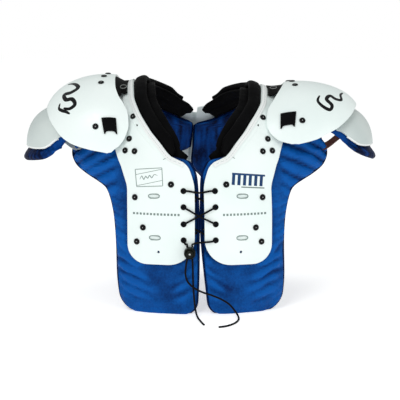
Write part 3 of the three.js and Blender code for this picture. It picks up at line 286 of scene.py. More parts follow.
LOCK = plastic_finish("lock_plastic", (0.007, 0.010, 0.005), (0.003, 0.004, 0.002), 0.35, gloss=0.15)
# Grey for printed marks and bar tacks, and as painted shade round the pockets.
GREY_PRINT_AND_SHADE = plastic_finish("grey_print_and_shade", (0.2, 0.27, 0.25), (0.13, 0.18, 0.17), 0.45)
BLUE_PRINT = plastic_finish("blue_print", (0.012, 0.07, 0.2), (0.006, 0.03, 0.1), 0.4, gloss=0.2)
BLACK_PRINT = plastic_finish("black_print", (0.004, 0.004, 0.005), (0.002, 0.002, 0.003), 0.35, gloss=0.15)
GREY_RING = plastic_finish("grey_ring", (0.2, 0.21, 0.2), (0.1, 0.11, 0.11), 0.35)
# The stitches are real, but their white thread is drawn grey, darker than the binding: painted shade along
# the row of stitches.
SHADED_WHITE_THREAD = cloth_finish("white_thread_painted_shade", (0.6, 0.64, 0.63), (0.45, 0.5, 0.5), 0.7, 0.0008, 0.0)
SILVER = new_material("silver_pin", (0.5, 0.51, 0.5), 0.3, Metallic=1.0)
scratches = clouds(SILVER, coordinates(SILVER, "Object"), 400, 3)
drive(SILVER, "Roughness", spread(SILVER, scratches, 0.3, 0.7, 0.2, 0.38))
print("materials:", len(bpy.data.materials))

# %% [markdown]
# ## The body form
# A shell like this is moulded over a form: up the chest, over the shoulder and down the back, and bowed
# away to the sides. One function turns a place along and across that form into a point, so the shell, the
# pads under it and the neck pieces fit each other as they do on the real pad.

# %% The line over the shoulder
HALF_WIDTH = 0.112
CREST_HEIGHT = 0.372
SPRING_HEIGHT = 0.150
FRONT_DEPTH = 0.148
BACK_DEPTH = 0.134
HEM_FLARE = 0.006
SIDE_BOW = 0.026
HEM_LEVEL = 0.060
CENTRE_Y = 0.015
LEFT_DROP = 0.0045  # how far the shoulders settle, between these shares of the form's length
RIGHT_DROP = 0.013
DROP_STARTS = (0.336, 0.43)
DROP_ENDS = (0.53, 0.62)
RIGHT_LEAN = 0.007  # how far the right shoulder leans in, from this height up and as far across as this
LEAN_RISES = (0.13, 0.33)
LEAN_FADES = (0.125, 0.18)


def quadratic(share, start, bend, end):
    """A curve from start to end, drawn towards the bend."""
    start, bend, end = (np.array(point) for point in (start, bend, end))
    return (1 - share) ** 2 * start + 2 * share * (1 - share) * bend + share**2 * end


def run_along(line):
    """How far along a line each of its points lies."""
    return np.concatenate([[0], np.cumsum(np.linalg.norm(np.diff(line, axis=0), axis=1))])


share = np.linspace(0, 1, 401)[:, None]
quarter = share * math.pi / 2
rise = CREST_HEIGHT - SPRING_HEIGHT
chest = quadratic(
    share, (-FRONT_DEPTH - HEM_FLARE, 0), (-FRONT_DEPTH, SPRING_HEIGHT / 2), (-FRONT_DEPTH, SPRING_HEIGHT))
front_arc = np.hstack([-FRONT_DEPTH * np.cos(quarter), SPRING_HEIGHT + rise * np.sin(quarter)])
back_arc = np.hstack([BACK_DEPTH * np.sin(quarter), SPRING_HEIGHT + rise * np.cos(quarter)])
back = quadratic(
    share, (BACK_DEPTH, SPRING_HEIGHT), (BACK_DEPTH, SPRING_HEIGHT / 2), (BACK_DEPTH + HEM_FLARE, 0))
form_line = np.vstack([chest, front_arc[1:], back_arc[1:], back[1:]])
form_run = run_along(form_line)
form_way = np.gradient(form_line, form_run, axis=0)
form_way /= np.linalg.norm(form_way, axis=1)[:, None]
FORM_LENGTH = form_run[-1]
print("the form is", round(FORM_LENGTH, 4), "m long")


# %% Points over the form
def ramp(value, start, end):
    """0 before the start, 1 past the end and a smooth rise between them."""
    t = np.clip((np.asarray(value, float) - start) / (end - start), 0, 1)
    return t * t * (3 - 2 * t)


def over_body(along, across, height=0.0):
    """Points over the form: share of its length, metres across, metres out. Also the way out."""
    along, across, height = np.broadcast_arrays(*(np.asarray(x, float) for x in (along, across, height)))
    run = along * FORM_LENGTH
    y, z = (np.interp(run, form_run, form_line[:, k]) for k in (0, 1))
    way_y, way_z = (np.interp(run, form_run, form_way[:, k]) for k in (0, 1))
    bow = SIDE_BOW * (across / HALF_WIDTH) ** 2
    outward = np.stack([2 * SIDE_BOW * across / HALF_WIDTH**2, -way_z, way_y], -1)
    outward /= np.linalg.norm(outward, axis=-1, keepdims=True)
    point = np.stack([across, y + way_z * bow + CENTRE_Y, z - way_y * bow], -1) + outward * height[..., None]
    right = ramp(across, -0.04, 0.04)
    drop = LEFT_DROP + (RIGHT_DROP - LEFT_DROP) * right
    point[..., 2] -= drop * ramp(along, *DROP_STARTS) * (1 - ramp(along, *DROP_ENDS))
    point[..., 0] -= RIGHT_LEAN * right * ramp(z, *LEAN_RISES) * (1 - ramp(across, *LEAN_FADES))
    return point, outward


def level_hem(along, across, height):
    """As over_body, drawn level with the floor near the hem."""
    point, outward = over_body(along, across, height)
    for hem in (0, 1):
        distance = np.abs(np.asarray(along) - hem) * FORM_LENGTH
        drop = over_body(hem, across, height)[0][..., 2]
        point[..., 2] -= drop * np.clip(1 - distance / HEM_LEVEL, 0, 1)
    return point


def smooth(rows, column, at):
    """A column of a table read between its rows, without overshoot."""
    x = np.array([row[0] for row in rows], float)
    y = np.array([row[column] for row in rows], float)
    step = np.diff(y) / np.diff(x)
    slope = np.concatenate([[step[0]], np.zeros(len(x) - 2), [step[-1]]])
    for k in range(1, len(x) - 1):
        if step[k - 1] * step[k] > 0:
            slope[k] = 2 * step[k - 1] * step[k] / (step[k - 1] + step[k])
    at = np.clip(at, x[0], x[-1])
    i = np.clip(np.searchsorted(x, at, side="right") - 1, 0, len(x) - 2)
    run = x[i + 1] - x[i]
    t = (at - x[i]) / run
    ends = y[i] * (1 + 2 * t) * (1 - t) ** 2 + y[i + 1] * (3 - 2 * t) * t**2
    return ends + slope[i] * run * t * (1 - t) ** 2 + slope[i + 1] * run * (t - 1) * t**2


# %% [markdown]
# ## Tools for making pieces
# Almost every piece is a patch of a bent surface. It starts as a flat grid, whose points are moved on to
# the form. Walls come from solidify, closed soft forms from two grids bridged at their rims, and round
# fittings from a spun profile.


# %% A grid laid on a surface
def grid_on(place, columns, rows, width, length):
    """A grid whose points place(u, v) moves on to a surface, with UVs in metres."""
    mesh = bmesh.new()
    bmesh.ops.create_grid(mesh, x_segments=columns, y_segments=rows, size=0.5)
    flat = mesh.loops.layers.uv.new("UVMap")
    for face in mesh.faces:
        for loop in face.loops:
            loop[flat].uv = ((loop.vert.co.x + 0.5) * width, (loop.vert.co.y + 0.5) * length)
    shares = np.array([vert.co[:2] for vert in mesh.verts]) + 0.5
    for vert, point in zip(mesh.verts, place(shares[:, 0], shares[:, 1])):
        vert.co = point
    return mesh


def piece_from(mesh, name, material, nodes=(), body="pads", smooth_angle=35):
    """The mesh as a finished object that rides on a body and stands for CAD nodes."""
    data = bpy.data.meshes.new(name)
    mesh.to_mesh(data)
    mesh.free()
    data.materials.append(material)
    piece = bpy.data.objects.new(name, data)
    bpy.context.scene.collection.objects.link(piece)
    data.shade_smooth()
    if smooth_angle:
        data.set_sharp_from_angle(angle=math.radians(smooth_angle))
    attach(piece, body)
    if nodes:
        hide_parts(*nodes)
    return piece


def face_out(mesh, toward=None):
    """Faces point out. An open patch is turned towards the given way."""
    if toward is None:
        bmesh.ops.recalc_face_normals(mesh, faces=mesh.faces)
        return mesh
    mesh.normal_update()
    total = sum((face.normal * face.calc_area() for face in mesh.faces), Vector())
    if total.dot(Vector(toward)) < 0:
        bmesh.ops.reverse_faces(mesh, faces=mesh.faces)
    return mesh


def add_wall(mesh, thickness):
    """Gives an open patch a wall behind it."""
    bmesh.ops.solidify(mesh, geom=mesh.faces, thickness=thickness)
    bmesh.ops.recalc_face_normals(mesh, faces=mesh.faces)
    return mesh


def closed(mesh, gap=2e-5):
    """Makes a rolled-up grid a closed form: welds its seam and fills its ends."""
    bmesh.ops.remove_doubles(mesh, verts=mesh.verts, dist=gap)
    bmesh.ops.holes_fill(mesh, edges=mesh.edges, sides=0)
    return face_out(mesh)


def soften(piece, width, segments=2):
    """Rounds the edges of a wall."""
    bevel = piece.modifiers.new("edges", "BEVEL")
    bevel.width = width
    bevel.segments = segments
    bevel.limit_method = "ANGLE"
    bevel.angle_limit = math.radians(50)


def apply_modifiers(piece):
    """Makes the piece's mesh what its modifiers show, and removes them."""
    graph = bpy.context.evaluated_depsgraph_get()
    made = bpy.data.meshes.new_from_object(piece.evaluated_get(graph))
    piece.modifiers.clear()
    old = piece.data
    piece.data = made
    bpy.data.meshes.remove(old)


# %% A tube along a line, and a spun profile
def tube_on(points, radius, sides=12):
    """A closed tube along points, with UVs in metres along and around it. Also its length."""
    line = np.array(points, float)
    ways = np.gradient(line, axis=0)
    ways /= np.linalg.norm(ways, axis=1)[:, None]
    side = np.cross(ways[0], (0.3, 1, 0.2))
    frames = []
    for way in ways:
        side = side - way * side.dot(way)
        side /= np.linalg.norm(side)
        frames.append((side.copy(), np.cross(way, side)))
    first, second = np.array(frames).swapaxes(0, 1)
    length = run_along(line)[-1]

    def place(u, v):
        k = np.rint(v * (len(line) - 1)).astype(int)
        turn = (u * 2 * math.pi)[:, None]
        return line[k] + radius * (first[k] * np.cos(turn) + second[k] * np.sin(turn))

    mesh = grid_on(place, sides, len(line) - 1, 2 * math.pi * radius, length)
    return closed(mesh, radius * 0.02), length


def stand(mesh, centre, outward):
    """Turns a mesh so that its height points outward, and moves it to the centre."""
    turn = Vector((0, 0, 1)).rotation_difference(Vector(outward).normalized()).to_matrix().to_4x4()
    bmesh.ops.transform(mesh, matrix=Matrix.Translation(Vector(centre)) @ turn, verts=mesh.verts)
    return mesh


def turned(profile, centre, outward, steps=24):
    """A profile of (radius, height) spun about its height, which points outward from the centre."""
    mesh = bmesh.new()
    line = [mesh.verts.new((radius, 0, height)) for radius, height in profile]
    edges = [mesh.edges.new(pair) for pair in zip(line, line[1:])]
    bmesh.ops.spin(
        mesh, geom=line + edges, axis=(0, 0, 1), cent=(0, 0, 0), angle=2 * math.pi, steps=steps,
        use_merge=True)
    bmesh.ops.remove_doubles(mesh, verts=mesh.verts, dist=1e-6)
    return stand(face_out(mesh), centre, outward)


def join(meshes):
    """Several meshes as one."""
    whole = bmesh.new()
    for mesh in meshes:
        carried = bpy.data.meshes.new("carried")
        mesh.to_mesh(carried)
        mesh.free()
        whole.from_mesh(carried)
        bpy.data.meshes.remove(carried)
    return whole


# %% [markdown]
# ## The free ends of the lace
# A lace is a limp braided cord, 3 mm thick. Both ends leave the lock, hang down the front of the left
# pad, and run out on the floor. The tube follows a smooth curve through the same route points as the
# CAD solid, and its UV map runs along it, so that the braid does too.


# %% Smooth curve through route points
def through(points, between=6):
    """Points on a centripetal Catmull-Rom curve, some between each pair of the given ones."""
    p = [np.array(x, float) for x in points]
    p = [2 * p[0] - p[1], *p, 2 * p[-1] - p[-2]]
    out = []
    for a, b, c, d in zip(p, p[1:], p[2:], p[3:]):
        t0 = 0.0
        t1 = t0 + np.linalg.norm(b - a) ** 0.5
        t2 = t1 + np.linalg.norm(c - b) ** 0.5
        t3 = t2 + np.linalg.norm(d - c) ** 0.5
        for k in range(between):
            t = t1 + (t2 - t1) * k / between
            ab = (t1 - t) / (t1 - t0) * a + (t - t0) / (t1 - t0) * b
            bc = (t2 - t) / (t2 - t1) * b + (t - t1) / (t2 - t1) * c
            cd = (t3 - t) / (t3 - t2) * c + (t - t2) / (t3 - t2) * d
            abc = (t2 - t) / (t2 - t0) * ab + (t - t0) / (t2 - t0) * bc
            bcd = (t3 - t) / (t3 - t1) * bc + (t - t1) / (t3 - t1) * cd
            out.append((t2 - t) / (t2 - t1) * abc + (t - t1) / (t2 - t1) * bcd)
    return out + [p[-2]]


# %% Two free ends
LACE_RADIUS = 0.0015
TAIL_A = [
    (-11, -158, 87.3), (-10.5, -159, 74), (-10.2, -159.5, 58), (-9.6, -160, 42), (-8.4, -161, 27),
    (-7, -163.5, 13.5), (-5, -170, 4.6), (-2.5, -181, 1.6),
    (0.5, -196, 1.6), (3.5, -209, 1.6), (6.3, -219, 1.6),
]
TAIL_B = [
    (-19, -158, 87.3), (-20.9, -159, 75), (-21.4, -160, 63), (-17.7, -161.5, 52), (-8.6, -163, 43.5),
    (4, -164, 37), (19, -164.5, 32), (34, -165, 25.5), (45.5, -166, 18), (52.5, -168, 10), (57, -173, 4.4),
    (58.7, -183, 1.6), (57, -196, 1.6), (53, -208, 1.6), (47, -218, 1.6), (38.5, -227, 1.6), (28, -232, 1.6),
]
for name, route in (("lace_tail_a", TAIL_A), ("lace_tail_b", TAIL_B)):  # routes in millimetres
    points = through([(x / 1000, y / 1000 + CENTRE_Y, z / 1000) for x, y, z in route])
    mesh, length = tube_on(points, LACE_RADIUS)
    tail = piece_from(mesh, name + "_cord", LACE, [name], smooth_angle=None)
    tuple(points[0])
    [tuple(p) for p in points]
    print(name, "is", round(length, 4), "m long")

# %% [markdown]
# ## The body shells
# Each shell is one moulding of white plastic, 3 mm thick: a chest plate with round corners, a strip over
# the shoulder beside the neck and a back plate. A grid takes the outline from two tables, its rows set
# close together in the rounded corners. A boolean cut then makes the eyelets, the vents and two
# shallow oblong pockets, as drilling and moulding do on the real plate.

# %% Outlines of the shell
SIDES = {
    "left": dict(sign=-1, crest_x=0.150, crest_z=0.357, run=0.098, rise=0.066, swing=6.5, fan=0),
    "right": dict(sign=1, crest_x=0.160, crest_z=0.346, run=0.096, rise=0.050, swing=-6.5, fan=10),
}
SHELL_WALL = 0.003
SHELL_EDGES = [
    (0.0862, 0.07, 0.978), (0.2165, 0.064, 0.978), (0.2519, 0.13, 1.042),
    (0.2659, 0.225, 1.075), (0.274, 0.37, 1.1),
    (0.2997, 0.528, 1.155), (0.3298, 0.687, 1.215), (0.3747, 0.838, 1.295),
    (0.4209, 0.913, 1.34), (0.492, 0.933, 1.375),
    (0.55, 0.893, 1.36), (0.58, 0.786, 1.34), (0.61, 0.607, 1.31), (0.635, 0.393, 1.27), (0.65, 0.196, 1.25),
    (0.7, 0, 1.15), (0.75, 0, 1.06), (0.79, 0, 1.0), (0.905, 0, 1.0),
]
BACK_NECK = 0.658
BACK_GAP = [
    (0.658, -0.085, -0.005), (0.7, -0.11, -0.055), (0.735, -0.15, -0.08),
    (0.775, -0.18, -0.11), (0.787, -0.18, -0.07),
    (0.8, -0.18, 0.03), (0.82, -0.2, 0.125), (0.85, -0.23, 0.21), (0.905, -0.27, 0.27), (1, -0.29, 0.29),
]


def back_gap(side, along):
    """Where a half ends beside the spine, as a share of the half width."""
    return SIDES[side]["sign"] * smooth(BACK_GAP, 1 if side == "left" else 2, along)


def neck_edge(along):
    return smooth(SHELL_EDGES, 1, along) * HALF_WIDTH


def shell_inner(side, along):
    return np.where(np.asarray(along) < BACK_NECK, neck_edge(along), back_gap(side, along) * HALF_WIDTH)


def shell_outer(side, along):
    return smooth(SHELL_EDGES, 2, along) * HALF_WIDTH


def corner_inset(distance, radius):
    """How far a rounded corner draws the edge in, at a distance from the end."""
    inside = np.clip(radius - np.clip(distance, 0, None), 0, None)
    return radius - np.sqrt(radius**2 - inside**2)


def stations(start, end, step, corner_start=0.0, corner_end=0.0, corner_rows=9):
    """Rows along a piece: even, but closer together where an end is rounded."""
    turn = 1 - np.cos(np.linspace(0, math.pi / 2, corner_rows))
    marks = [start, end]
    if corner_start:
        marks += list(start + turn * corner_start / FORM_LENGTH)
    if corner_end:
        marks += list(end - turn * corner_end / FORM_LENGTH)
    low = start + corner_start / FORM_LENGTH
    high = end - corner_end / FORM_LENGTH
    marks += list(np.linspace(low, high, max(2, round((high - low) * FORM_LENGTH / step) + 1)))
    marks = np.unique(np.round(marks, 7))
    return marks[np.concatenate([[True], np.diff(marks) > 2e-5])]


# %% The shell's plate
PLATE_INNER = 0.040
PLATE_OUTER = 0.029
PLATE_STEP = 0.0045
PLATE_COLUMNS = 30
PLATE_START, PLATE_END = SHELL_EDGES[0][0], SHELL_EDGES[-1][0]
plate_rows = stations(PLATE_START, PLATE_END, PLATE_STEP, PLATE_INNER, PLATE_INNER, 16)


def shell_place(side, u, along):
    """Share u between the shell's edges, at a place along, corners included: metres across."""
    ahead = (along - PLATE_START) * FORM_LENGTH
    behind = (PLATE_END - along) * FORM_LENGTH
    inner = shell_inner(side, along) + corner_inset(ahead, PLATE_INNER) + corner_inset(behind, PLATE_INNER)
    outer = shell_outer(side, along) - corner_inset(ahead, PLATE_OUTER) - corner_inset(behind, PLATE_OUTER)
    return inner + (outer - inner) * u


def plate_mesh(side):
    sign = SIDES[side]["sign"]

    def place(u, v):
        along = plate_rows[np.rint(v * (len(plate_rows) - 1)).astype(int)]
        return over_body(along, sign * shell_place(side, u, along), SHELL_WALL)[0]

    rows = len(plate_rows) - 1
    return face_out(grid_on(place, PLATE_COLUMNS, rows, HALF_WIDTH, 0.69), (0, -1, 1))


# %% Cut-outs of the shell
EYELETS = [0.2157, 0.188, 0.1583, 0.1303]
EYELET_ACROSS = 0.024
EYELET_RADIUS = 0.0034
VENTS = [(0.1083, 0.555), (0.339, 0.854)]
VENT_RADIUS = 0.0021
DRILL_REACH = 0.006
SLOTS = [(0.2064, 0.605), (0.133, 0.595)]
SLOT_LENGTH = 0.016
SLOT_INSET = {"left": -0.0008, "right": 0.0026}
SLOT_WIDTH = 0.006
SLOT_DEPTH = 0.0016


def cutters(side):
    """One object that holds the drills and the pocket tools of a shell."""
    sign = SIDES[side]["sign"]
    tools = []
    holes = [(along, EYELET_ACROSS, EYELET_RADIUS) for along in EYELETS]
    holes += [(along, across * HALF_WIDTH, VENT_RADIUS) for along, across in VENTS]
    for along, across, radius in holes:
        point, outward = over_body(along, sign * across, SHELL_WALL / 2)
        ends = (-DRILL_REACH, DRILL_REACH)
        drill = [(0, ends[0]), (radius, ends[0]), (radius, ends[1]), (0, ends[1])]
        tools.append(turned(drill, point, outward, 20))
    for along, across in SLOTS:
        point, outward = over_body(along, sign * (across * HALF_WIDTH - SLOT_INSET[side]), SHELL_WALL)
        pocket = bmesh.new()
        bmesh.ops.create_cube(pocket, size=1)
        bmesh.ops.scale(pocket, vec=(SLOT_LENGTH, SLOT_WIDTH, 2 * SLOT_DEPTH), verts=pocket.verts)
        upright = [edge for edge in pocket.edges if abs((edge.verts[0].co - edge.verts[1].co).z) > SLOT_DEPTH]
        rounding = {"offset": SLOT_WIDTH * 0.495, "segments": 6, "profile": 0.5}
        bmesh.ops.bevel(pocket, geom=upright, affect="EDGES", material=-1, **rounding)
        tools.append(stand(pocket, point, outward))
    data = bpy.data.meshes.new("cutters")
    whole = join(tools)
    whole.to_mesh(data)
    whole.free()
    tool = bpy.data.objects.new("cutters_" + side, data)
    bpy.context.scene.collection.objects.link(tool)
    return tool


# %% Both shells
for side in SIDES:
    mesh = add_wall(plate_mesh(side), SHELL_WALL)
    shell = piece_from(mesh, side + "_shell", SHELL, [side + "_body_arch"])
    tool = cutters(side)
    drill = shell.modifiers.new("drill", "BOOLEAN")
    drill.operation = "DIFFERENCE"
    drill.solver = "EXACT"
    drill.object = tool
    soften(shell, 0.0006, 2)
    apply_modifiers(shell)
    bpy.data.objects.remove(tool)
    shell.data.shade_smooth()
    shell.data.set_sharp_from_angle(angle=math.radians(40))
    print(shell.name, "has", len(shell.data.polygons), "faces")

# %% [markdown]
# ## The body pads
# Under each plate lies a quilted pad: nylon cloth sewn over foam, wider than the shell, with an elastic
# tape round its edge that gathers the cloth into short slanting pleats. The pad is two grids bridged at
# the rim. Cloth simulation swells it, and it may not rise where the plate lies on it.

# %% Outlines of the pads
PAD_GAP = 0.001
PAD_THICKNESS = 0.014
PAD_RIM = 0.005
FRONT_PAD = [
    (0, 0.05, 1.072), (0.0675, 0.027, 1.137), (0.113, 0.023, 1.15),
    (0.1566, 0.023, 1.174), (0.19, 0.027, 1.214),
    (0.2218, 0.036, 1.293), (0.2361, 0.045, 1.41), (0.2478, 0.063, 1.528),
    (0.2615, 0.12, 1.643), (0.2715, 0.18, 1.71),
    (0.273, 0.4, 1.72), (0.2824, 0.525, 1.76), (0.2936, 0.645, 1.79),
    (0.31, 0.76, 1.815), (0.33, 0.835, 1.81),
    (0.345, 0.895, 1.75), (0.3747, 0.975, 1.59), (0.4, 1.02, 1.47), (0.44, 1.055, 1.41), (0.495, 1.09, 1.39),
]
BACK_PAD = [
    (0.505, 1.09, 1.39), (0.55, 1.085, 1.41), (0.593, 0.985, 1.47), (0.63, 0.81, 1.59), (0.6586, 0.56, 1.75),
    (0.676, 0.345, 1.81), (0.6865, 0.17, 1.815), (0.69, 0, 1.81), (0.72, 0, 1.73), (0.7522, 0, 1.528),
    (0.7782, 0, 1.293), (0.81, 0, 1.214), (0.8434, 0, 1.174),
    (0.887, 0, 1.15), (0.9325, 0, 1.137), (1, 0, 1.072),
]
PAD_GAP_START = 0.69
LEFT_STEP = (0.745, 0.42)
PAD_CORNER_INNER = 0.018
PAD_CORNER_OUTER = 0.027
LACING_RECESS = 0.0065
PAD_SECTION = [(0, 0.16, 0.46), (0.045, 0, 0.12), (0.27, 0, 0), (0.62, 0, 0), (0.9, 0, 0.1), (1, 0.16, 0.46)]
PAD_COLUMNS = 44
PAD_STEP = 0.0032
TAPE_STEP = 0.0042
FAR = 9  # metres to an end that isn't rounded


def lacing_recess(along):
    """The pad's upper face lies deeper where the lace passes under the shell."""
    return LACING_RECESS * (ramp(along, 0.1, 0.115) - ramp(along, 0.228, 0.243))


def pad_rows(where, step):
    if where == "front":
        return stations(0, FRONT_PAD[-1][0], step, PAD_CORNER_OUTER, 0, 12)
    return stations(BACK_PAD[0][0], 1, step, 0, PAD_CORNER_OUTER, 12)


def pad_edges(side, where, along):
    """The inner and the outer edge of a pad, in metres across."""
    if where == "front":
        low = 1 - ramp(along, 0.0, 0.17)
        inner = smooth(FRONT_PAD, 1, along) + (0.085 * low if side == "right" else 0)
        outer = smooth(FRONT_PAD, 2, along) + (0.055 * low if side == "right" else 0.012 * low)
        ahead, behind = along * FORM_LENGTH, FAR + 0 * along
    else:
        gap = back_gap(side, along)
        below = np.maximum(gap, LEFT_STEP[1]) if side == "left" else gap
        low = np.where(along < LEFT_STEP[0], gap, below)
        inner = np.where(along < PAD_GAP_START, smooth(BACK_PAD, 1, along), low)
        outer = smooth(BACK_PAD, 2, along)
        ahead, behind = FAR + 0 * along, (1 - along) * FORM_LENGTH
    inner, outer = inner * HALF_WIDTH, outer * HALF_WIDTH
    for distance in (ahead, behind):
        inner = inner + corner_inset(distance, PAD_CORNER_INNER)
        outer = outer - corner_inset(distance, PAD_CORNER_OUTER)
    return inner, outer


def free_of_shell(side, along, across):
    """How far a place lies outside the shell's outline, in metres."""
    start = (PLATE_START - along) * FORM_LENGTH
    end = (along - PLATE_END) * FORM_LENGTH
    outside = across - shell_place(side, 1.0, along)
    inside = shell_place(side, 0.0, along) - across
    return np.maximum.reduce([start, end, outside, inside])


# %% Folds of the pads
def value_noise(x, y, seed):
    """Smooth noise at each place of two arrays of the same shape."""
    values = [noise.noise(Vector((a, b, seed))) for a, b in zip(np.ravel(x), np.ravel(y))]
    return np.array(values).reshape(np.shape(x))


def pleats(run, inside, seed, pitch=0.0085):
    """Short slanting gathers beside an edge: run is metres along it, inside metres away from it."""
    slant = run + 0.5 * inside
    wander = 0.005 * value_noise(slant * 24, inside * 14, seed)
    ridge = np.abs(np.sin(math.pi * (slant + wander) / pitch))
    uneven = np.clip(0.35 + 1.5 * np.abs(value_noise(slant * 45, inside * 12, seed + 3)), 0, 1)
    return np.sqrt(ridge) * uneven * np.exp(-inside / 0.018)


def fold(distance, width):
    """A soft ridge with a sharper valley beside it, across a crease line."""
    t = distance / width
    return np.exp(-((t - 0.9) ** 2)) - 0.8 * np.exp(-((t * 1.7) ** 2))


CREASES = [  # from run and across, to run and across, depth and width
    (0.0816, 0.1245, 0.0690, 0.0902, 0.0050, 0.0055), (0.0662, 0.1247, 0.0468, 0.0750, 0.0052, 0.0065),
    (0.1010, 0.1240, 0.0860, 0.1120, 0.0040, 0.0050), (0.0480, 0.1190, 0.0290, 0.0700, 0.0034, 0.0070),
    (0.0300, 0.1150, 0.0180, 0.0760, 0.0028, 0.0060), (0.0600, 0.0100, 0.0400, 0.0460, 0.0034, 0.0060),
    (0.0780, 0.0080, 0.0600, 0.0300, 0.0028, 0.0050), (0.0400, 0.0120, 0.0240, 0.0420, 0.0026, 0.0060),
]


def creases(run, across, seed):
    """Long creases of the loose cloth: each goes from one place (run, across) to another."""
    total = 0 * run
    for k, (run_a, across_a, run_b, across_b, depth, width) in enumerate(CREASES):
        way = np.array([run_b - run_a, across_b - across_a])
        length = np.linalg.norm(way)
        way = way / length
        ahead = (run - run_a) * way[0] + (across - across_a) * way[1]
        aside = (run - run_a) * -way[1] + (across - across_a) * way[0]
        aside = aside + 0.0025 * value_noise(ahead * 40, 0 * ahead, seed + k)
        fade = 1 - ramp(ahead, length * 0.5, length * 1.2)
        total = total + depth * fold(aside, width) * ramp(ahead, -0.01, 0.01) * fade
    return total


GATHER_HEIGHT, GATHER_PITCH = 0.0046, 0.0130
FOLD_HEIGHT, FOLD_PITCH = 0.0062, 0.026
# Each hollow is a run and its reach, and a place across and its reach. The cloth dips a little there, and its
# colour gets painted shade.
HOLLOWS = [(0.060, 0.015, 0.050, 0.042), (0.042, 0.018, 0.038, 0.024)]


def pad_height(side, where, along, across, inner, outer):
    """How far the cloth of a body pad stands above its flat place, and how lit or deep its fold is."""
    free = free_of_shell(side, along, across)
    loose = ramp(free, 0.0, 0.012)
    run = np.abs(along - (0 if where == "front" else 1)) * FORM_LENGTH
    seed = {"left": 1.7, "right": 8.3}[side] + {"front": 0, "back": 20}[where]
    gathered = ramp(run, 0.085, 0.115) * (1 - ramp(run, 0.175, 0.21)) + 0.4 * (1 - ramp(run, 0.06, 0.09))
    inside = np.minimum(outer - across, np.maximum(across - inner, 0.004) + 0.012)
    gathers = GATHER_HEIGHT * pleats(run, inside, seed, GATHER_PITCH) * gathered
    wing = ramp(across, 1.10 * HALF_WIDTH, 1.22 * HALF_WIDTH) * ramp(run, 0.165, 0.20)
    lean = run + 0.45 * (across - HALF_WIDTH) + 0.007 * value_noise(along * 16, across * 16, seed + 11)
    folds = FOLD_HEIGHT * wing * (np.abs(np.sin(math.pi * lean / FOLD_PITCH)) ** 0.8 - 0.55)
    sharp = gathers + creases(run, across, seed) + folds
    sag = 0.0022 * value_noise(along * 24, across * 22, seed + 7)
    sag = sag + 0.0010 * value_noise(along * 70, across * 60, seed + 9)
    hollow = np.maximum.reduce([
        np.exp(-(((run - run_at) / run_reach) ** 2) - ((across - across_at) / across_reach) ** 2)
        for run_at, run_reach, across_at, across_reach in HOLLOWS
    ])
    # Painted light and shade for the nylon: darker beside the gathered edges, lighter on ridges and darker in
    # valleys, darker in the hollows, and darker under the shell and just outside its edge, where the plate
    # shades the cloth.
    base = 0.68 - 0.42 * gathered * np.exp(-inside / 0.03)
    lit = np.clip(base + sharp / 0.0050 + sag / 0.007 - 0.34 * hollow - 0.2 * (1 - loose), 0, 1)
    return (sharp + sag - 0.0010 * hollow + 0.0014) * loose, lit


# %% Sew a pad
def mark_folds(piece, values):
    """Writes how lit each point's fold is, for the nylon's colour."""
    marks = piece.data.attributes.new("fold", "FLOAT", "POINT")
    marks.data.foreach_set("value", np.asarray(values, np.float32))


def pad_mesh(side, where):
    """A pad's mesh. Also, for each point, how far outside the shell it lies, -1 where it is held, and how
    lit it is, from 0 deep in a fold to 1 on its ridge."""
    sign = SIDES[side]["sign"]
    rows = pad_rows(where, PAD_STEP)
    free, lit = {}, {}

    def surface(top):
        def place(u, v):
            along = rows[np.rint(v * (len(rows) - 1)).astype(int)]
            inner, outer = pad_edges(side, where, along)
            across = inner + (outer - inner) * u
            edge = (u < 0.01) | (u > 0.99) | (v < 0.005) | (v > 0.995)
            free[top] = np.where(edge | (not top), -1.0, np.maximum(free_of_shell(side, along, across), 0))
            given = PAD_THICKNESS - PAD_RIM
            recess = lacing_recess(along) * (1 - ramp(u, 0.2, 0.35)) if where == "front" else 0
            if top:
                height = -PAD_GAP - smooth(PAD_SECTION, 1, u) * given - recess
                raised, lit[top] = pad_height(side, where, along, across, inner, outer)
                height = height + raised
            else:
                sag = value_noise(along * 30, across * 26, 31)
                # Painted highlights: long streaks of light running along the dark liner.
                lit[top] = 0.42 + 0.3 * sag + 0.75 * value_noise(along * 16, across * 130, 33)
                height = -PAD_GAP - PAD_THICKNESS + smooth(PAD_SECTION, 2, u) * given - 0.0016 * (0.5 + sag)
            return level_hem(along, sign * across, height)

        return place

    length = (rows[-1] - rows[0]) * FORM_LENGTH
    faces = [grid_on(surface(top), PAD_COLUMNS, len(rows) - 1, 0.15, length) for top in (True, False)]
    for face in faces[1].faces:
        face.material_index = 1
    mesh = join(faces)
    bmesh.ops.bridge_loops(mesh, edges=[edge for edge in mesh.edges if edge.is_boundary])
    return face_out(mesh), *(np.concatenate([values[True], values[False]]) for values in (free, lit))


# %% Swell a pad
SWELL_FRAMES = 13
CLOTH = {
    "quality": 5, "mass": 0.15, "tension_stiffness": 15, "compression_stiffness": 12, "shear_stiffness": 6,
    "bending_stiffness": 0.08, "shrink_min": -0.03, "use_pressure": True, "uniform_pressure_force": 2.5,
}
DEEPEST = -0.003
SIDEWAYS = 0.002


def values_of(data, name, count):
    """Three numbers for each point of a mesh's data."""
    values = np.zeros(count * 3, np.float32)
    data.foreach_get(name, values)
    return values.reshape(-1, 3)


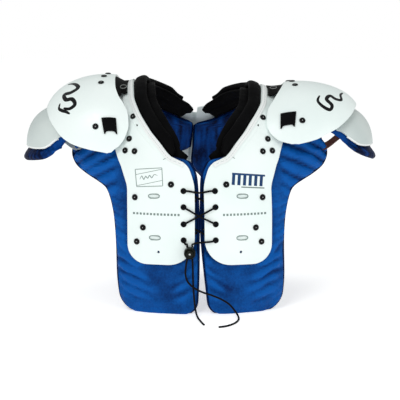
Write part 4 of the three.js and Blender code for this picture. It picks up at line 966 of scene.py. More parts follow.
def swell(piece, held, allowed):
    """Lets cloth simulation puff and crinkle a pad. held points stay, and none rises more than allowed."""
    count = len(piece.data.vertices)
    before = values_of(piece.data.vertices, "co", count)
    out = values_of(piece.data.vertex_normals, "vector", count)
    group = piece.vertex_groups.new(name="held")
    group.add([int(k) for k in np.flatnonzero(held)], 1.0, "REPLACE")
    cloth = piece.modifiers.new("cloth", "CLOTH")
    for name, value in CLOTH.items():
        setattr(cloth.settings, name, value)
    cloth.settings.vertex_group_mass = "held"
    cloth.settings.effector_weights.gravity = 0
    cloth.point_cache.frame_start = 1
    cloth.point_cache.frame_end = SWELL_FRAMES
    for moment in range(1, SWELL_FRAMES + 1):
        bpy.context.scene.frame_set(moment)
    graph = bpy.context.evaluated_depsgraph_get()
    move = values_of(piece.evaluated_get(graph).data.vertices, "co", count) - before
    piece.modifiers.remove(cloth)
    piece.vertex_groups.remove(group)
    bpy.context.scene.frame_set(1)
    rise = (move * out).sum(1)
    level = np.clip(rise, DEEPEST, allowed)
    sideways = move - out * rise[:, None]
    sideways *= np.minimum(1, SIDEWAYS / np.maximum(np.linalg.norm(sideways, axis=1), 1e-9))[:, None]
    moved = before + out * level[:, None] + sideways * (allowed > 0.0005)[:, None]
    piece.data.vertices.foreach_set("co", moved.astype(np.float32).ravel())
    piece.data.update()
    print("  swelled", piece.name, "by up to", round(float(level.max()) * 1000, 1), "mm")


# %% Four body pads
for side in SIDES:
    for where in ("front", "back"):
        name = f"{side}_{where}_pad"
        mesh, free, lit = pad_mesh(side, where)
        pad = piece_from(mesh, name + "_cloth", NYLON, [name], smooth_angle=None)
        pad.data.materials.append(LINER)
        mark_folds(pad, lit)
        swell(pad, held=free < -0.5, allowed=0.0002 + 0.0045 * ramp(free, 0.0, 0.014))
        subdivision = pad.modifiers.new("smooth", "SUBSURF")
        subdivision.levels = subdivision.render_levels = 1
        print(pad.name, "has", len(pad.data.polygons), "faces")

# %% Edge tape of the body pads
TAPE_RADIUS = 0.0022
TAPE_HEIGHT = -PAD_GAP - 0.0040
TAPE_FLOOR = 0.0024

for side in SIDES:
    for where in ("front", "back"):
        rows = pad_rows(where, TAPE_STEP)
        inner, outer = pad_edges(side, where, rows)
        down = level_hem(rows, SIDES[side]["sign"] * (inner - 0.0006), TAPE_HEIGHT)
        up = level_hem(rows, SIDES[side]["sign"] * (outer + 0.0008), TAPE_HEIGHT)
        around = [*down[::-1], *up] if where == "front" else [*down, *up[::-1]]
        line = [around[0]]
        for point in around[1:]:
            if np.linalg.norm(point - line[-1]) > 0.0012:
                line.append(point)
        line = np.array(line)
        line[1:-1] = (line[:-2] + 2 * line[1:-1] + line[2:]) / 4
        line[:, 2] = np.maximum(line[:, 2], TAPE_FLOOR)
        mesh, length = tube_on(line, TAPE_RADIUS, 10)
        piece_from(mesh, f"{side}_{where}_edge_tape", TAPE, smooth_angle=None)
print("edge tapes")

# %% [markdown]
# ## The neck
# Round the neck the shell's edge is bound with white stitched tape. A black padded roll lies inside it,
# and a wider black lining hangs under both, so that nothing hard touches the wearer.


# %% Places beside the neck edge
def beside_neck(side, along, offset, height):
    """Points beside the shell's neck edge: offset is metres towards the neck."""
    step = 0.008
    slope = (neck_edge(along + step) - neck_edge(along - step)) / (2 * step * FORM_LENGTH)
    length = np.hypot(slope, 1)
    moved = along + offset * slope / length / FORM_LENGTH
    return over_body(moved, SIDES[side]["sign"] * (neck_edge(along) - offset / length), height)[0]


def neck_ring_piece(side, start, end, ring, rows, columns=24):
    """A closed form along the neck whose section is ring(turn, along) -> offset, height."""

    def place(u, v):
        along = start + (end - start) * v
        offset, height = ring(u, along)
        return beside_neck(side, along, offset, height)

    return closed(grid_on(place, columns, rows, 0.06, (end - start) * FORM_LENGTH))


def section(turn, power):
    """A section between a circle and a box: its place across and its height at a turn, from -1 to 1."""
    return (np.sign(way) * np.abs(way) ** power for way in (np.cos(turn), np.sin(turn)))


# %% Binding tape
BINDING_LOW = SHELL_WALL + 0.0007
BINDING_THICKNESS = 0.0015
BINDING_SPAN = (0.262, 0.652)
BINDING_WIDTH = 0.007

for side in SIDES:
    def tape(u, v):
        along = BINDING_SPAN[0] + (BINDING_SPAN[1] - BINDING_SPAN[0]) * v
        crown = 0.0004 * (1 - (2 * u - 1) ** 2) + 0.00012 * value_noise(along * 900, u, 3)
        height = BINDING_LOW + BINDING_THICKNESS - 0.0004 + crown
        return beside_neck(side, along, -0.0077 + BINDING_WIDTH * u, height)

    mesh = add_wall(face_out(grid_on(tape, 8, 130, BINDING_WIDTH, 0.33), (0, -0.3, 1)), BINDING_THICKNESS)
    binding = piece_from(mesh, side + "_binding_tape", BINDING, [side + "_neck_binding"])
    soften(binding, 0.0004)
print("binding tape on both sides")

# %% Collar rolls
ROLL_WIDTH = 0.018
ROLL_SPAN = (0.275, 0.642)

for side in SIDES:
    def ring(u, along):
        distance = np.minimum(along - ROLL_SPAN[0], ROLL_SPAN[1] - along) * FORM_LENGTH
        full = 0.55 + 0.45 * np.clip(distance / ROLL_WIDTH, 0, 1)
        turn = u * 2 * math.pi
        squeeze = 1 + 0.05 * value_noise(along * 130, np.sin(turn), 4)
        squeeze = squeeze + 0.03 * value_noise(along * 320, np.cos(turn), 6)
        flat, tall = section(turn, 0.8)
        offset = PAD_GAP + ROLL_WIDTH * (0.5 + 0.5 * flat * full) - ROLL_WIDTH * (1 - full) / 2
        height = -0.00125 + 0.00625 * tall * full * squeeze
        return offset, height

    mesh = neck_ring_piece(side, *ROLL_SPAN, ring, 96)
    roll = piece_from(mesh, side + "_collar_roll", COLLAR, [side + "_neck_roll"], smooth_angle=None)
print("collar rolls")

# %% Neck lining
LINING_ROWS = [
    (0.2655, 0.12, 0.75), (0.272, 0.0, 0.98), (0.281, -0.2, 1.22), (0.2924, -0.4, 1.42), (0.32, -0.5, 1.67),
    (0.36, -0.55, 1.74), (0.42, -0.6, 1.65), (0.5, -0.65, 1.6), (0.55, -0.85, 1.3), (0.6, -1.25, 1.1),
    (0.63, -1.35, 0.9), (0.646, -1.4, 0.6), (0.659, -1.45, 0.5),
]

for side in SIDES:
    def ring(u, along):
        out = smooth(LINING_ROWS, 1, along) * ROLL_WIDTH
        inward = smooth(LINING_ROWS, 2, along) * ROLL_WIDTH
        flat, tall = section(u * 2 * math.pi, 0.7)
        offset = (out + inward) / 2 + (inward - out) / 2 * flat
        dive = -0.0013 - 0.008 * ramp(offset, -0.008, 0.001)
        wrinkle = 0.0007 * value_noise(along * 150, offset * 60, 12)
        height = dive - 0.0045 + (0.0042 + wrinkle) * tall
        return offset, height

    mesh = neck_ring_piece(side, LINING_ROWS[0][0], LINING_ROWS[-1][0], ring, 100, 32)
    name = side + "_neck_lining"
    lining = piece_from(mesh, name + "_cloth", COLLAR, [name], smooth_angle=None)
print("neck linings")

# %% [markdown]
# ## Epaulets
# The epaulets are big vacuum-formed domes, thinnest at the rim. The crest is a quarter ellipse, and the
# dome drops from it to the front and the back. The same function places the keeper, the rivets and the
# decoration on it.

# %% The dome
HALF_DEPTH = 0.112
DROP = 0.4775 * (CREST_HEIGHT - SPRING_HEIGHT)
EPAULET_WALL = 0.003
EPAULET_SWEEP = 88
DOME = [(-28, 0, 1, 1), (-5, 7, 1, 1), (20, 15.5, 1, 1.03), (50, 20.5, 0.94, 0.97), (75, 25, 0.81, 0.74)]
EPAULET_EDGES = {
    "left": [
        (0, -9, 76), (0.27, -9.8, 75), (0.4, -12.6, 74), (0.49, -18, 72.5), (0.59, -23, 69), (0.7, -23.8, 64),
        (0.83, -18.9, 49.5), (0.93, -10, 31), (1, 3, 10),
    ],
    "right": [
        (0, -12, 74), (0.293, -19, 71.5), (0.479, -27.6, 69), (0.596, -34.8, 66), (0.727, -36.6, 59),
        (0.836, -33, 47), (0.947, -21, 29), (1, -4.6, 8),
    ],
}


def dome_point(side, turn, sweep):
    """A place on an epaulet: turn runs outward from the crest and sweep to the back, in degrees."""
    s = SIDES[side]
    turn, sweep = np.broadcast_arrays(np.asarray(turn, float), np.asarray(sweep, float))
    angle, swung = np.radians(turn), np.radians(sweep - s["swing"])
    fan = np.radians(smooth(DOME, 1, turn) + s["fan"] * np.clip((turn + 5) / 80, 0, 1))
    drop = smooth(DOME, 3, turn) * DROP * (1 - np.cos(swung))
    depth = smooth(DOME, 2, turn) * HALF_DEPTH
    x = s["crest_x"] + s["run"] * np.sin(angle) - np.sin(fan) * drop
    z = s["crest_z"] - s["rise"] * (1 - np.cos(angle)) - np.cos(fan) * drop
    return np.stack([s["sign"] * x, depth * np.sin(swung) + CENTRE_Y, z], -1)


def raised(surface, side, turn, sweep, height, step=0.5):
    """Points a height over a surface(side, turn, sweep). Also the way out of it."""
    turn, sweep, height = (np.asarray(value, float) for value in (turn, sweep, height))
    across = surface(side, turn + step, sweep) - surface(side, turn - step, sweep)
    back = surface(side, turn, sweep + step) - surface(side, turn, sweep - step)
    outward = np.cross(across, back) * SIDES[side]["sign"]
    outward = outward / np.linalg.norm(outward, axis=-1, keepdims=True)
    return surface(side, turn, sweep) + outward * height[..., None], outward


def over_epaulet(side, turn, sweep, height=0.0):
    return raised(dome_point, side, turn, sweep, height)


for side in SIDES:
    def place(u, v):
        sweep = 2 * v - 1
        inner = smooth(EPAULET_EDGES[side], 1, np.abs(sweep))
        outer = smooth(EPAULET_EDGES[side], 2, np.abs(sweep))
        return over_epaulet(side, inner + (outer - inner) * u, sweep * EPAULET_SWEEP, 0 * u)[0]

    mesh = add_wall(face_out(grid_on(place, 40, 64, 0.16, 0.25), (0, 0, 1)), EPAULET_WALL)
    name = side + "_epaulet"
    soften(piece_from(mesh, name + "_shell", SHELL, [name]), 0.0008, 3)
print("two epaulets")

# %% [markdown]
# ## Deltoid caps
# Below each epaulet hangs a smaller cap on the upper arm, with a bright rim. Its plastic is drawn a little
# greyer than the shell's, as painted shade on a cap that faces sideways. A dark quilted pad lies under it and
# shows below its rim.

# %% The cap
CAP_HALF_DEPTH = 0.078
CAP_REACH = 0.060
CAP_SWEEP = 80
CAP_CREST_X = 0.196
CAP_CREST_Z = 0.244
CAP_RUN = 0.084
CAP_RISE = 0.068
CAP_WALL = 0.003
CAP_PAD_THICKNESS = 0.012
CAP_FULLNESS = 0.0045
CAP_RIM_RADIUS = 0.0019
CAP_EDGES = {
    "left": [(0, 10, 90), (0.5, 10, 90), (0.8, 12, 88), (0.93, 20, 80), (1.05, 35, 56)],
    "right": [(0, 10, 88), (0.5, 10, 86), (0.72, 12, 82), (0.85, 25, 72), (0.93, 35, 58)],
}
CAP_PAD_EDGES = {
    "left": [(0, 10, 109), (0.42, 10, 108), (0.76, 12, 107), (0.98, 22, 102), (1.19, 46, 86)],
    "right": [(0, 10, 109), (0.35, 10, 106), (0.8, 15, 98), (0.95, 28, 86), (1.04, 42, 70)],
}


def cap_point(side, turn, sweep):
    """A place on a cap: turn runs down from its top and sweep to the back, in degrees."""
    turn, sweep = np.broadcast_arrays(np.asarray(turn, float), np.asarray(sweep, float))
    angle, swung = np.radians(turn), np.radians(sweep)
    fan = np.radians(30 + 60 * np.clip((turn - 10) / 80, 0, 1.1))
    reach = CAP_REACH * (1 - np.cos(swung))
    full = CAP_FULLNESS * np.sin(np.clip(turn, 0, 90) / 90 * math.pi) ** 2
    x = CAP_CREST_X + CAP_RUN * np.sin(angle) - np.sin(fan) * reach + full * np.sin(angle)
    z = CAP_CREST_Z + CAP_RISE * np.cos(angle) - np.cos(fan) * reach + full * np.cos(angle)
    return np.stack([SIDES[side]["sign"] * x, CAP_HALF_DEPTH * np.sin(swung) + CENTRE_Y, z], -1)


def over_cap(side, turn, sweep, height=0.0):
    return raised(cap_point, side, turn, sweep, height)


def cap_place(edges, side, share, way, height):
    """Share from the upper edge to the rim, and way from -1 to 1, front to back."""
    sweep = way * edges[side][-1][0]
    first = smooth(edges[side], 1, np.abs(sweep))
    last = smooth(edges[side], 2, np.abs(sweep))
    return over_cap(side, first + (last - first) * share, sweep * CAP_SWEEP, height)[0]


for side in SIDES:
    place = lambda u, v: cap_place(CAP_EDGES, side, u, 2 * v - 1, 0 * u)
    mesh = face_out(grid_on(place, 26, 48, 0.11, 0.17), (0, -0.2, 1))
    mesh = add_wall(mesh, CAP_WALL)
    soften(piece_from(mesh, side + "_cap_shell", SHADED_CAP_PLASTIC, [side + "_deltoid_cap"]), 0.0008, 3)
    rim = cap_place(CAP_EDGES, side, np.ones(60), np.linspace(-1, 1, 60), np.full(60, -CAP_WALL / 2))
    mesh, length = tube_on(rim, CAP_RIM_RADIUS, 10)
    piece_from(mesh, side + "_cap_rim", RIM, smooth_angle=None)
print("two caps with their rims")

# %% Deltoid pads
for side in SIDES:
    def ring(u, v):
        flat, tall = section(u * 2 * math.pi, 0.6)
        share_at = 0.5 + 0.5 * flat
        way = 2 * v - 1
        rim = np.clip((1 - np.abs(way)) / 0.12, 0, 1) ** 0.5
        gather = pleats((way + 1) * 0.11, (1 - share_at) * 0.11, 31) * 0.0030 * ramp(share_at, 0.8, 0.87)
        flare = 0.0135 * ramp(share_at, 0.82, 0.97) * (1 - 0.5 * way**2)
        height = -CAP_WALL - PAD_GAP - 0.006 + flare + (0.0055 * (0.55 + 0.45 * rim) + gather) * tall
        return cap_place(CAP_PAD_EDGES, side, share_at, way, height)

    mesh = closed(grid_on(ring, 64, 120, 0.2, 0.2))
    name = side + "_deltoid_pad"
    pad = piece_from(mesh, name + "_cloth", NAVY, [name], smooth_angle=None)
    spot = np.array([point.co for point in pad.data.vertices])
    streak = value_noise(spot[:, 0] * 150 + spot[:, 2] * 90, spot[:, 1] * 170, 41)
    mark_folds(pad, 0.12 + 0.9 * (1 - ramp(np.abs(spot[:, 0]), 0.212, 0.262)) + 0.5 * streak)
print("two deltoid pads")

# %% [markdown]
# ## Straps, keepers and the bridge
# A broad black strap carries the epaulet and the cap. A short elastic keeper sits on the epaulet's front,
# and a narrow strap holds the cap's pad to the wing of the chest pad. At the back a white strip joins the
# two shells.

# %% Shoulder straps
STRAP_THICKNESS = 0.0016
STRAP_REACH = {"left": (0.39, 0.43), "right": (0.31, 0.43)}  # forward and back, as shares of the sweep


def strap_places(side, sweep):
    """Lines of points across the strap, from the shell to the cap."""
    sign = SIDES[side]["sign"]
    along = 0.5 + HALF_DEPTH * np.sin(np.radians(sweep)) / FORM_LENGTH
    edge = smooth(EPAULET_EDGES[side], 1, np.abs(sweep) / EPAULET_SWEEP)
    low = -EPAULET_WALL - 0.001
    near = neck_edge(along) + 0.0087
    on_shell = lambda step, lift: over_body(along, sign * (near + step), SHELL_WALL + 0.0027 + lift)[0]
    under = lambda turn: over_epaulet(side, turn + 0 * sweep, sweep, low + 0 * sweep)[0]
    on_cap = lambda turn: over_cap(side, turn + 0 * sweep, sweep * 0.7, 0.0023 + 0 * sweep)[0]
    return np.array([
        on_shell(-0.0002, 0.0006), on_shell(0.006, 0.0034), under(edge - 1.5), under(edge + 5),
        under(0), under(9), on_cap(13), on_cap(19),
    ])


def strap_point(side, u, v):
    """Points on a strap: u from the shell to the cap, v from front to back."""
    ahead, behind = STRAP_REACH[side]
    lines = strap_places(side, (-ahead + (ahead + behind) * v) * EPAULET_SWEEP)
    k = np.clip(u * (len(lines) - 1), 0, len(lines) - 1.0001)
    i = k.astype(int)
    pick = np.arange(len(u))
    return lines[i, pick] * (1 - (k - i))[:, None] + lines[i + 1, pick] * (k - i)[:, None]


for side in SIDES:
    mesh = face_out(grid_on(lambda u, v: strap_point(side, u, v), 28, 40, 0.1, 0.1), (0, 0, 1))
    mesh = add_wall(mesh, STRAP_THICKNESS)
    soften(piece_from(mesh, side + "_strap_web", WEBBING, [side + "_shoulder_strap"]), 0.0003, 1)
print("two shoulder straps")

# %% Keepers
KEEPERS = {"left": (-0.8, -65.5), "right": (-12, -66.6)}
KEEPER_WIDTH = 0.029
KEEPER_LENGTH = 0.025
KEEPER_NOTCH = 0.0036
KEEPER_WALL = 0.002

for side in SIDES:
    turn_at, sweep_at = KEEPERS[side]
    turn_span = math.degrees(KEEPER_WIDTH / SIDES[side]["run"])
    sweep_span = math.degrees(KEEPER_LENGTH / DROP)

    def place(u, v):
        notch = KEEPER_NOTCH / KEEPER_LENGTH * np.clip(1 - ((u - 0.5) / 0.39) ** 4, 0, 1) ** 0.3
        down = notch + (1 - notch) * v
        turn = turn_at + (u - 0.5) * turn_span
        return over_epaulet(side, turn, sweep_at + (down - 0.5) * sweep_span, 0.0023 + 0 * u)[0]

    mesh = face_out(grid_on(place, 36, 24, KEEPER_WIDTH, KEEPER_LENGTH), (0, -1, 0.5))
    mesh = add_wall(mesh, KEEPER_WALL)
    soften(piece_from(mesh, side + "_keeper_web", WEBBING, [side + "_keeper"]), 0.0005)
print("two keepers")

# %% Arm straps
ARM_STRAP_ALONG = 0.325
ARM_STRAP_ENDS = (0.186, 0.197)
ARM_STRAP_WIDTH = 0.012
ARM_STRAP_SEAT = -0.0004
ARM_STRAP_TIP = (45.0, -70.0)
ARM_STRAP_FINISH = {"left": PALE, "right": BROWN}

for side in SIDES:
    sign = SIDES[side]["sign"]
    wing = [over_body(ARM_STRAP_ALONG, sign * across, ARM_STRAP_SEAT)[0] for across in ARM_STRAP_ENDS]
    low = -CAP_WALL - PAD_GAP - CAP_PAD_THICKNESS - 0.0015
    tip = over_cap(side, *ARM_STRAP_TIP, low)[0]
    ends = [over_body(along, sign * ARM_STRAP_ENDS[1], ARM_STRAP_SEAT)[0] for along in (0.32, 0.33)]
    way = ends[1] - ends[0]
    way = way / np.linalg.norm(way) * ARM_STRAP_WIDTH / 2
    line = np.array(through([wing[0], wing[1], tip], 8))

    def place(u, v):
        k = np.rint(v * (len(line) - 1)).astype(int)
        return line[k] + way * (2 * u - 1)[:, None]

    mesh = face_out(grid_on(place, 6, len(line) - 1, ARM_STRAP_WIDTH, 0.045), (0, -1, 0.5))
    mesh = add_wall(mesh, STRAP_THICKNESS)
    strap = piece_from(mesh, side + "_arm_web", ARM_STRAP_FINISH[side], [side + "_arm_strap"])
    soften(strap, 0.0003)
print("two arm straps")

# %% Back bridge
BRIDGE_WALL = 0.002
BRIDGE_GAP = 0.0008
BRIDGE_SPAN = (0.672, 0.782)
BRIDGE_REACH = (-0.46, 0.42)
BRIDGE_CORNER = 0.008


def place(u, v):
    along = BRIDGE_SPAN[0] + (BRIDGE_SPAN[1] - BRIDGE_SPAN[0]) * v
    end = np.minimum(v, 1 - v) * (BRIDGE_SPAN[1] - BRIDGE_SPAN[0]) * FORM_LENGTH
    inset = corner_inset(end, BRIDGE_CORNER)
    left, right = BRIDGE_REACH[0] * HALF_WIDTH + inset, BRIDGE_REACH[1] * HALF_WIDTH - inset
    return over_body(along, left + (right - left) * u, SHELL_WALL + BRIDGE_GAP + BRIDGE_WALL)[0]


mesh = add_wall(face_out(grid_on(place, 24, 40, 0.1, 0.09), (0, 1, 0.3)), BRIDGE_WALL)
soften(piece_from(mesh, "bridge_plate", SHELL, ["back_bridge"]), 0.0005)
print("back bridge")

# %% [markdown]
# ## Rivets, eyelet rings and the lace
# The rivets have black enamelled heads with a bright pin in the middle. Each is a profile spun about the
# way that the surface faces. The eyelets have black rings, and the lace goes over and under through them.

# %% Rivets
RIVET_GAP = 0.0003
SHELL_RIVETS = [
    (0.3602, 0.92), (0.3139, 0.97), (0.2917, 1.023), (0.2886, 0.89), (0.2269, 0.387), (0.2037, 0.881),
    (0.1501, 0.779), (0.1248, 0.865), (0.69, 0.33), (0.765, 0.33),
]
EPAULET_RIVETS = {
    "left": [(3.9, -19.6), (1.4, -5.9), (-1.5, 7)], "right": [(-5.1, -23.3), (-7, -10), (-9.5, 3)],
}
KEEPER_RIVET = {"left": (16.6, -64.7), "right": (5.5, -67.9)}
RIVET_INSETS = {
    "left": [0.0016, 0.002, 0.0018, 0.0015, 0.0006, 0.0012, 0.0018, 0.0018, 0, 0],
    "right": [0, 0, 0, 0, 0.002, 0.0032, 0.0028, 0.0036, 0, 0],
}
HEAD = [
    (0.0019, -0.003), (0.0019, 0), (0.0046, 0), (0.0048, 0.0004), (0.0046, 0.0009), (0.0036, 0.0015),
    (0.0022, 0.0018), (0.0014, 0.0016), (0.0011, 0.0012), (0.0008, 0.0011),
]
PIN = [(0.0008, 0.0009), (0.0008, 0.0013), (0.0005, 0.0016), (0, 0.0017)]


def add_rivet(name, point, outward):
    piece_from(turned(HEAD, point, outward, 24), name + "_head", ENAMEL, [name], smooth_angle=50)
    piece_from(turned(PIN, point, outward, 16), name + "_pin", SILVER, smooth_angle=50)


for side in SIDES:
    sign = SIDES[side]["sign"]
    for k, ((along, across), inset) in enumerate(zip(SHELL_RIVETS, RIVET_INSETS[side])):
        wall = SHELL_WALL + (BRIDGE_GAP + BRIDGE_WALL if k >= 8 else 0)
        across = sign * (across * HALF_WIDTH - inset)
        add_rivet(f"{side}_rivet_{k + 1}", *over_body(along, across, wall + RIVET_GAP))
    for k, (turn, sweep) in enumerate(EPAULET_RIVETS[side]):
        add_rivet(f"{side}_epaulet_rivet_{k + 1}", *over_epaulet(side, turn, sweep, RIVET_GAP))
    add_rivet(side + "_keeper_rivet", *over_epaulet(side, *KEEPER_RIVET[side], RIVET_GAP))
print("28 rivets")

# %% Eyelet rings
RING = [
    (0.0021, -0.0024), (0.0021, 0.0004), (0.0025, 0.0009),
    (0.0036, 0.001), (0.0045, 0.0006), (0.0046, 0.0001),
    (0.0033, 0.0), (0.0033, -0.0024), (0.0021, -0.0024),
]
for side in SIDES:
    rings = []
    for along in EYELETS:
        point, outward = over_body(along, SIDES[side]["sign"] * EYELET_ACROSS, SHELL_WALL + 0.0001)
        rings.append(turned(RING, point, outward, 24))
    piece_from(join(rings), side + "_eyelet_rings", ENAMEL, smooth_angle=50)
print("eight eyelet rings")

# %% [markdown]
# ## Prints, seams and stitches
# Thin bands follow the surfaces: the raised seam beside the binding, the outlines of the two recesses, dark
# grey as painted shade of their edges, bar tacks, rows of stitches in white thread drawn grey as painted
# shade, plain marks where labels sit, and the oval rings on the two straps.


# %% Bands on a surface
STITCH_GRAIN = 0.0005


def on_shell(side):
    """Points over a shell from metres along the form and metres across it."""
    return lambda a, b, height: over_body(a / FORM_LENGTH, SIDES[side]["sign"] * b, SHELL_WALL + height)[0]


def on_epaulet(side):
    """Points over an epaulet from metres of turn and metres of sweep."""
    run = SIDES[side]["run"]
    return lambda a, b, height: over_epaulet(side, np.degrees(a / run), np.degrees(b / DROP), height)[0]


def on_binding(side):
    """Points over the binding tape from metres along it and metres towards the neck."""
    top = BINDING_LOW + BINDING_THICKNESS
    return lambda a, b, height: beside_neck(side, a / FORM_LENGTH, b, top + height)


def spaced(line, step):
    """The same flat line with its points about a step apart."""
    line = np.array(line, float)
    run = run_along(line)
    at = np.linspace(0, run[-1], max(2, int(round(run[-1] / step)) + 1))
    return np.stack([np.interp(at, run, line[:, k]) for k in range(2)], 1)


def band(surface, line, width, lift=0.0001, crown=0.0, step=0.0015, ends=1.0):
    """A thin closed band along a line of places on a surface. ends is the share of its width at its tips."""
    line = spaced(line, step)
    way = np.gradient(line, axis=0)
    way /= np.maximum(np.linalg.norm(way, axis=1), 1e-9)[:, None]
    if np.allclose(line[0], line[-1], atol=1e-6):
        way[0] = way[-1] = (way[0] + way[-1]) / np.linalg.norm(way[0] + way[-1])
    aside = np.stack([-way[:, 1], way[:, 0]], 1)

    def place(u, v):
        k = np.rint(v * (len(line) - 1)).astype(int)
        broad = width * (ends + (1 - ends) * np.sqrt(np.clip(4 * v * (1 - v), 0, 1)))
        spot = line[k] + aside[k] * ((u - 0.5) * broad)[:, None]
        return surface(spot[:, 0], spot[:, 1], lift + crown * (1 - (2 * u - 1) ** 2))

    mesh = grid_on(place, 4 if crown else 1, len(line) - 1, width, len(line) * step)
    return add_wall(face_out(mesh, (0, -1, 0.6)), 0.0002 + crown * 0.3)


def stitch_row(surface, line, pitch, length, width):
    """One small band for each stitch of a row."""
    dense = spaced(line, STITCH_GRAIN)
    every, long = (int(round(measure / STITCH_GRAIN)) for measure in (pitch, length))
    starts = range(0, len(dense) - long, every)
    return join([band(surface, dense[[k, k + long]], width, 0.0002, 0, 0.01) for k in starts])


def oval(a, b, half_a, half_b, power=1.0):
    """A closed line round a place; a power below 1 makes it boxier."""
    flat, tall = section(np.linspace(0, 2 * math.pi, 37), power)
    return np.stack([a + half_a * tall, b + half_b * flat], 1)


def add_marks(name, meshes, material):
    piece_from(join(meshes), name, material, smooth_angle=30)


# %% Seams, recess outlines in painted shade and bar tacks
SEAM_SPAN = (0.284, 0.44)
SEAM_OFFSET = 0.0165
RECESS_SHADE_OUTLINE = (SLOT_WIDTH / 2 + 0.0002, SLOT_LENGTH / 2 + 0.0003)
BAR_TACKS = {"left": [(0.2374, 0.0547), (0.2417, 0.0450)], "right": [(0.2427, 0.0507), (0.2390, 0.0565)]}
STITCH_OFFSET = -0.0044

for side in SIDES:
    surface = on_shell(side)
    at = np.linspace(*SEAM_SPAN, 40)
    seam = np.stack([at * FORM_LENGTH, neck_edge(at) + SEAM_OFFSET], 1)
    add_marks(side + "_shell_seam", [band(surface, seam, 0.0024, -0.0003, 0.0007, ends=0.2)], SHELL)
    frames = []
    # The dark grey outline round each pocket is painted shade of its edge, on a slightly raised band.
    for along, across in SLOTS:
        place = (along * FORM_LENGTH, across * HALF_WIDTH - SLOT_INSET[side])
        frames.append(band(surface, oval(*place, *RECESS_SHADE_OUTLINE, power=0.75), 0.0015, 0.00005, 0.0003))
    add_marks(side + "_recess_shade_outlines", frames, GREY_PRINT_AND_SHADE)
    add_marks(side + "_bar_tack", [band(surface, BAR_TACKS[side], 0.0009, 0.0001, 0.0003)], GREY_PRINT_AND_SHADE)
    row = np.linspace(BINDING_SPAN[0] + 0.004, BINDING_SPAN[1] - 0.004, 200)
    row = np.stack([row * FORM_LENGTH, 0 * row + STITCH_OFFSET], 1)
    stitches = stitch_row(on_binding(side), row, pitch=0.003, length=0.002, width=0.0005)
    add_marks(side + "_binding_stitches", [stitches], SHADED_WHITE_THREAD)
print("seams, outlines, bar tacks and binding stitches")

# %% Plain marks where labels sit
LABEL_FRAME = [(0.2236, 0.0971), (0.2246, 0.0565), (0.1969, 0.0552), (0.1957, 0.0948), (0.2236, 0.0971)]
LABEL_STRIPES = [[(0.2152, 0.0957), (0.2225, 0.0565)], [(0.1975, 0.0940), (0.2055, 0.0556)]]
SCRAWL = [
    (0.2075, 0.0900), (0.2135, 0.0870), (0.2065, 0.0840), (0.2125, 0.0810), (0.2085, 0.0780),
    (0.2140, 0.0750), (0.2090, 0.0720), (0.2150, 0.0680), (0.2130, 0.0630),
]
BLOCK_STEP = np.array((-0.0004, 0.0084))
FIRST_BLOCK = np.array([(0.2142, 0.0535), (0.1985, 0.0518)])
DASHES = {"left": (0.0300, 0.1010), "right": (0.0350, 0.0980)}
DASH_LEVEL = 0.1530

surface = on_shell("left")
lines = [band(surface, LABEL_FRAME, 0.0011), *(band(surface, stripe, 0.0008) for stripe in LABEL_STRIPES)]
lines.append(band(surface, SCRAWL, 0.0013, ends=0.3))
add_marks("left_label_outline", lines, GREY_PRINT_AND_SHADE)
surface = on_shell("right")
blocks = [band(surface, FIRST_BLOCK + BLOCK_STEP * k, 0.0046) for k in range(6)]
blocks.append(band(surface, [(0.2156, 0.0510), (0.2134, 0.1010)], 0.0030))
add_marks("right_label_blocks", blocks, BLUE_PRINT)
add_marks("right_label_line", [band(surface, [(0.1952, 0.0640), (0.1935, 0.0990)], 0.0018)], GREY_PRINT_AND_SHADE)
for side, (first, last) in DASHES.items():
    starts = [b for b in np.arange(first, last, 0.0052) if not 0.062 < b < 0.066]
    dashes = [band(on_shell(side), [(DASH_LEVEL, b), (DASH_LEVEL, b + 0.0030)], 0.0034) for b in starts]
    add_marks(side + "_dashes", dashes, GREY_PRINT_AND_SHADE)


# %% Brush strokes on the epaulets
STROKES = {  # each a width, and places as a turn and a sweep in degrees
    "left": [
        (0.0082, [
            (38, -4), (30, -12), (27, -21), (35, -24), (43, -22),
            (42, -30), (35, -33), (33, -40), (40, -42), (47, -38),
        ]),
        (0.0062, [(50, -30), (53, -35), (50, -39), (45, -43), (41, -47)]),
    ],
    "right": [
        (0.0070, [
            (20, -39), (19, -46), (25, -51), (35, -53), (36, -48), (28, -42), (31, -36), (38, -38), (45, -36),
            (43, -28), (46, -20),
        ]),
    ],
}

for side, strokes in STROKES.items():
    marks = []
    for width, places in strokes:
        run = SIDES[side]["run"]
        flat = [(math.radians(turn) * run, math.radians(sweep) * DROP, 0) for turn, sweep in places]
        line = np.array(through(flat, 8))[:, :2]
        marks.append(band(on_epaulet(side), line, width, ends=0.25))
    add_marks(side + "_epaulet_mark", marks, BLACK_PRINT)
print("plain marks")

# %% Rings on the straps
RING_PLACES = {"left": (0.448, 0.1172), "right": (0.4694, 0.1219)}
RING_SIZE = (0.0050, 0.0056)
shares, ways = (grid.ravel() for grid in np.meshgrid(np.linspace(0, 0.4, 81), np.linspace(0, 1, 81)))

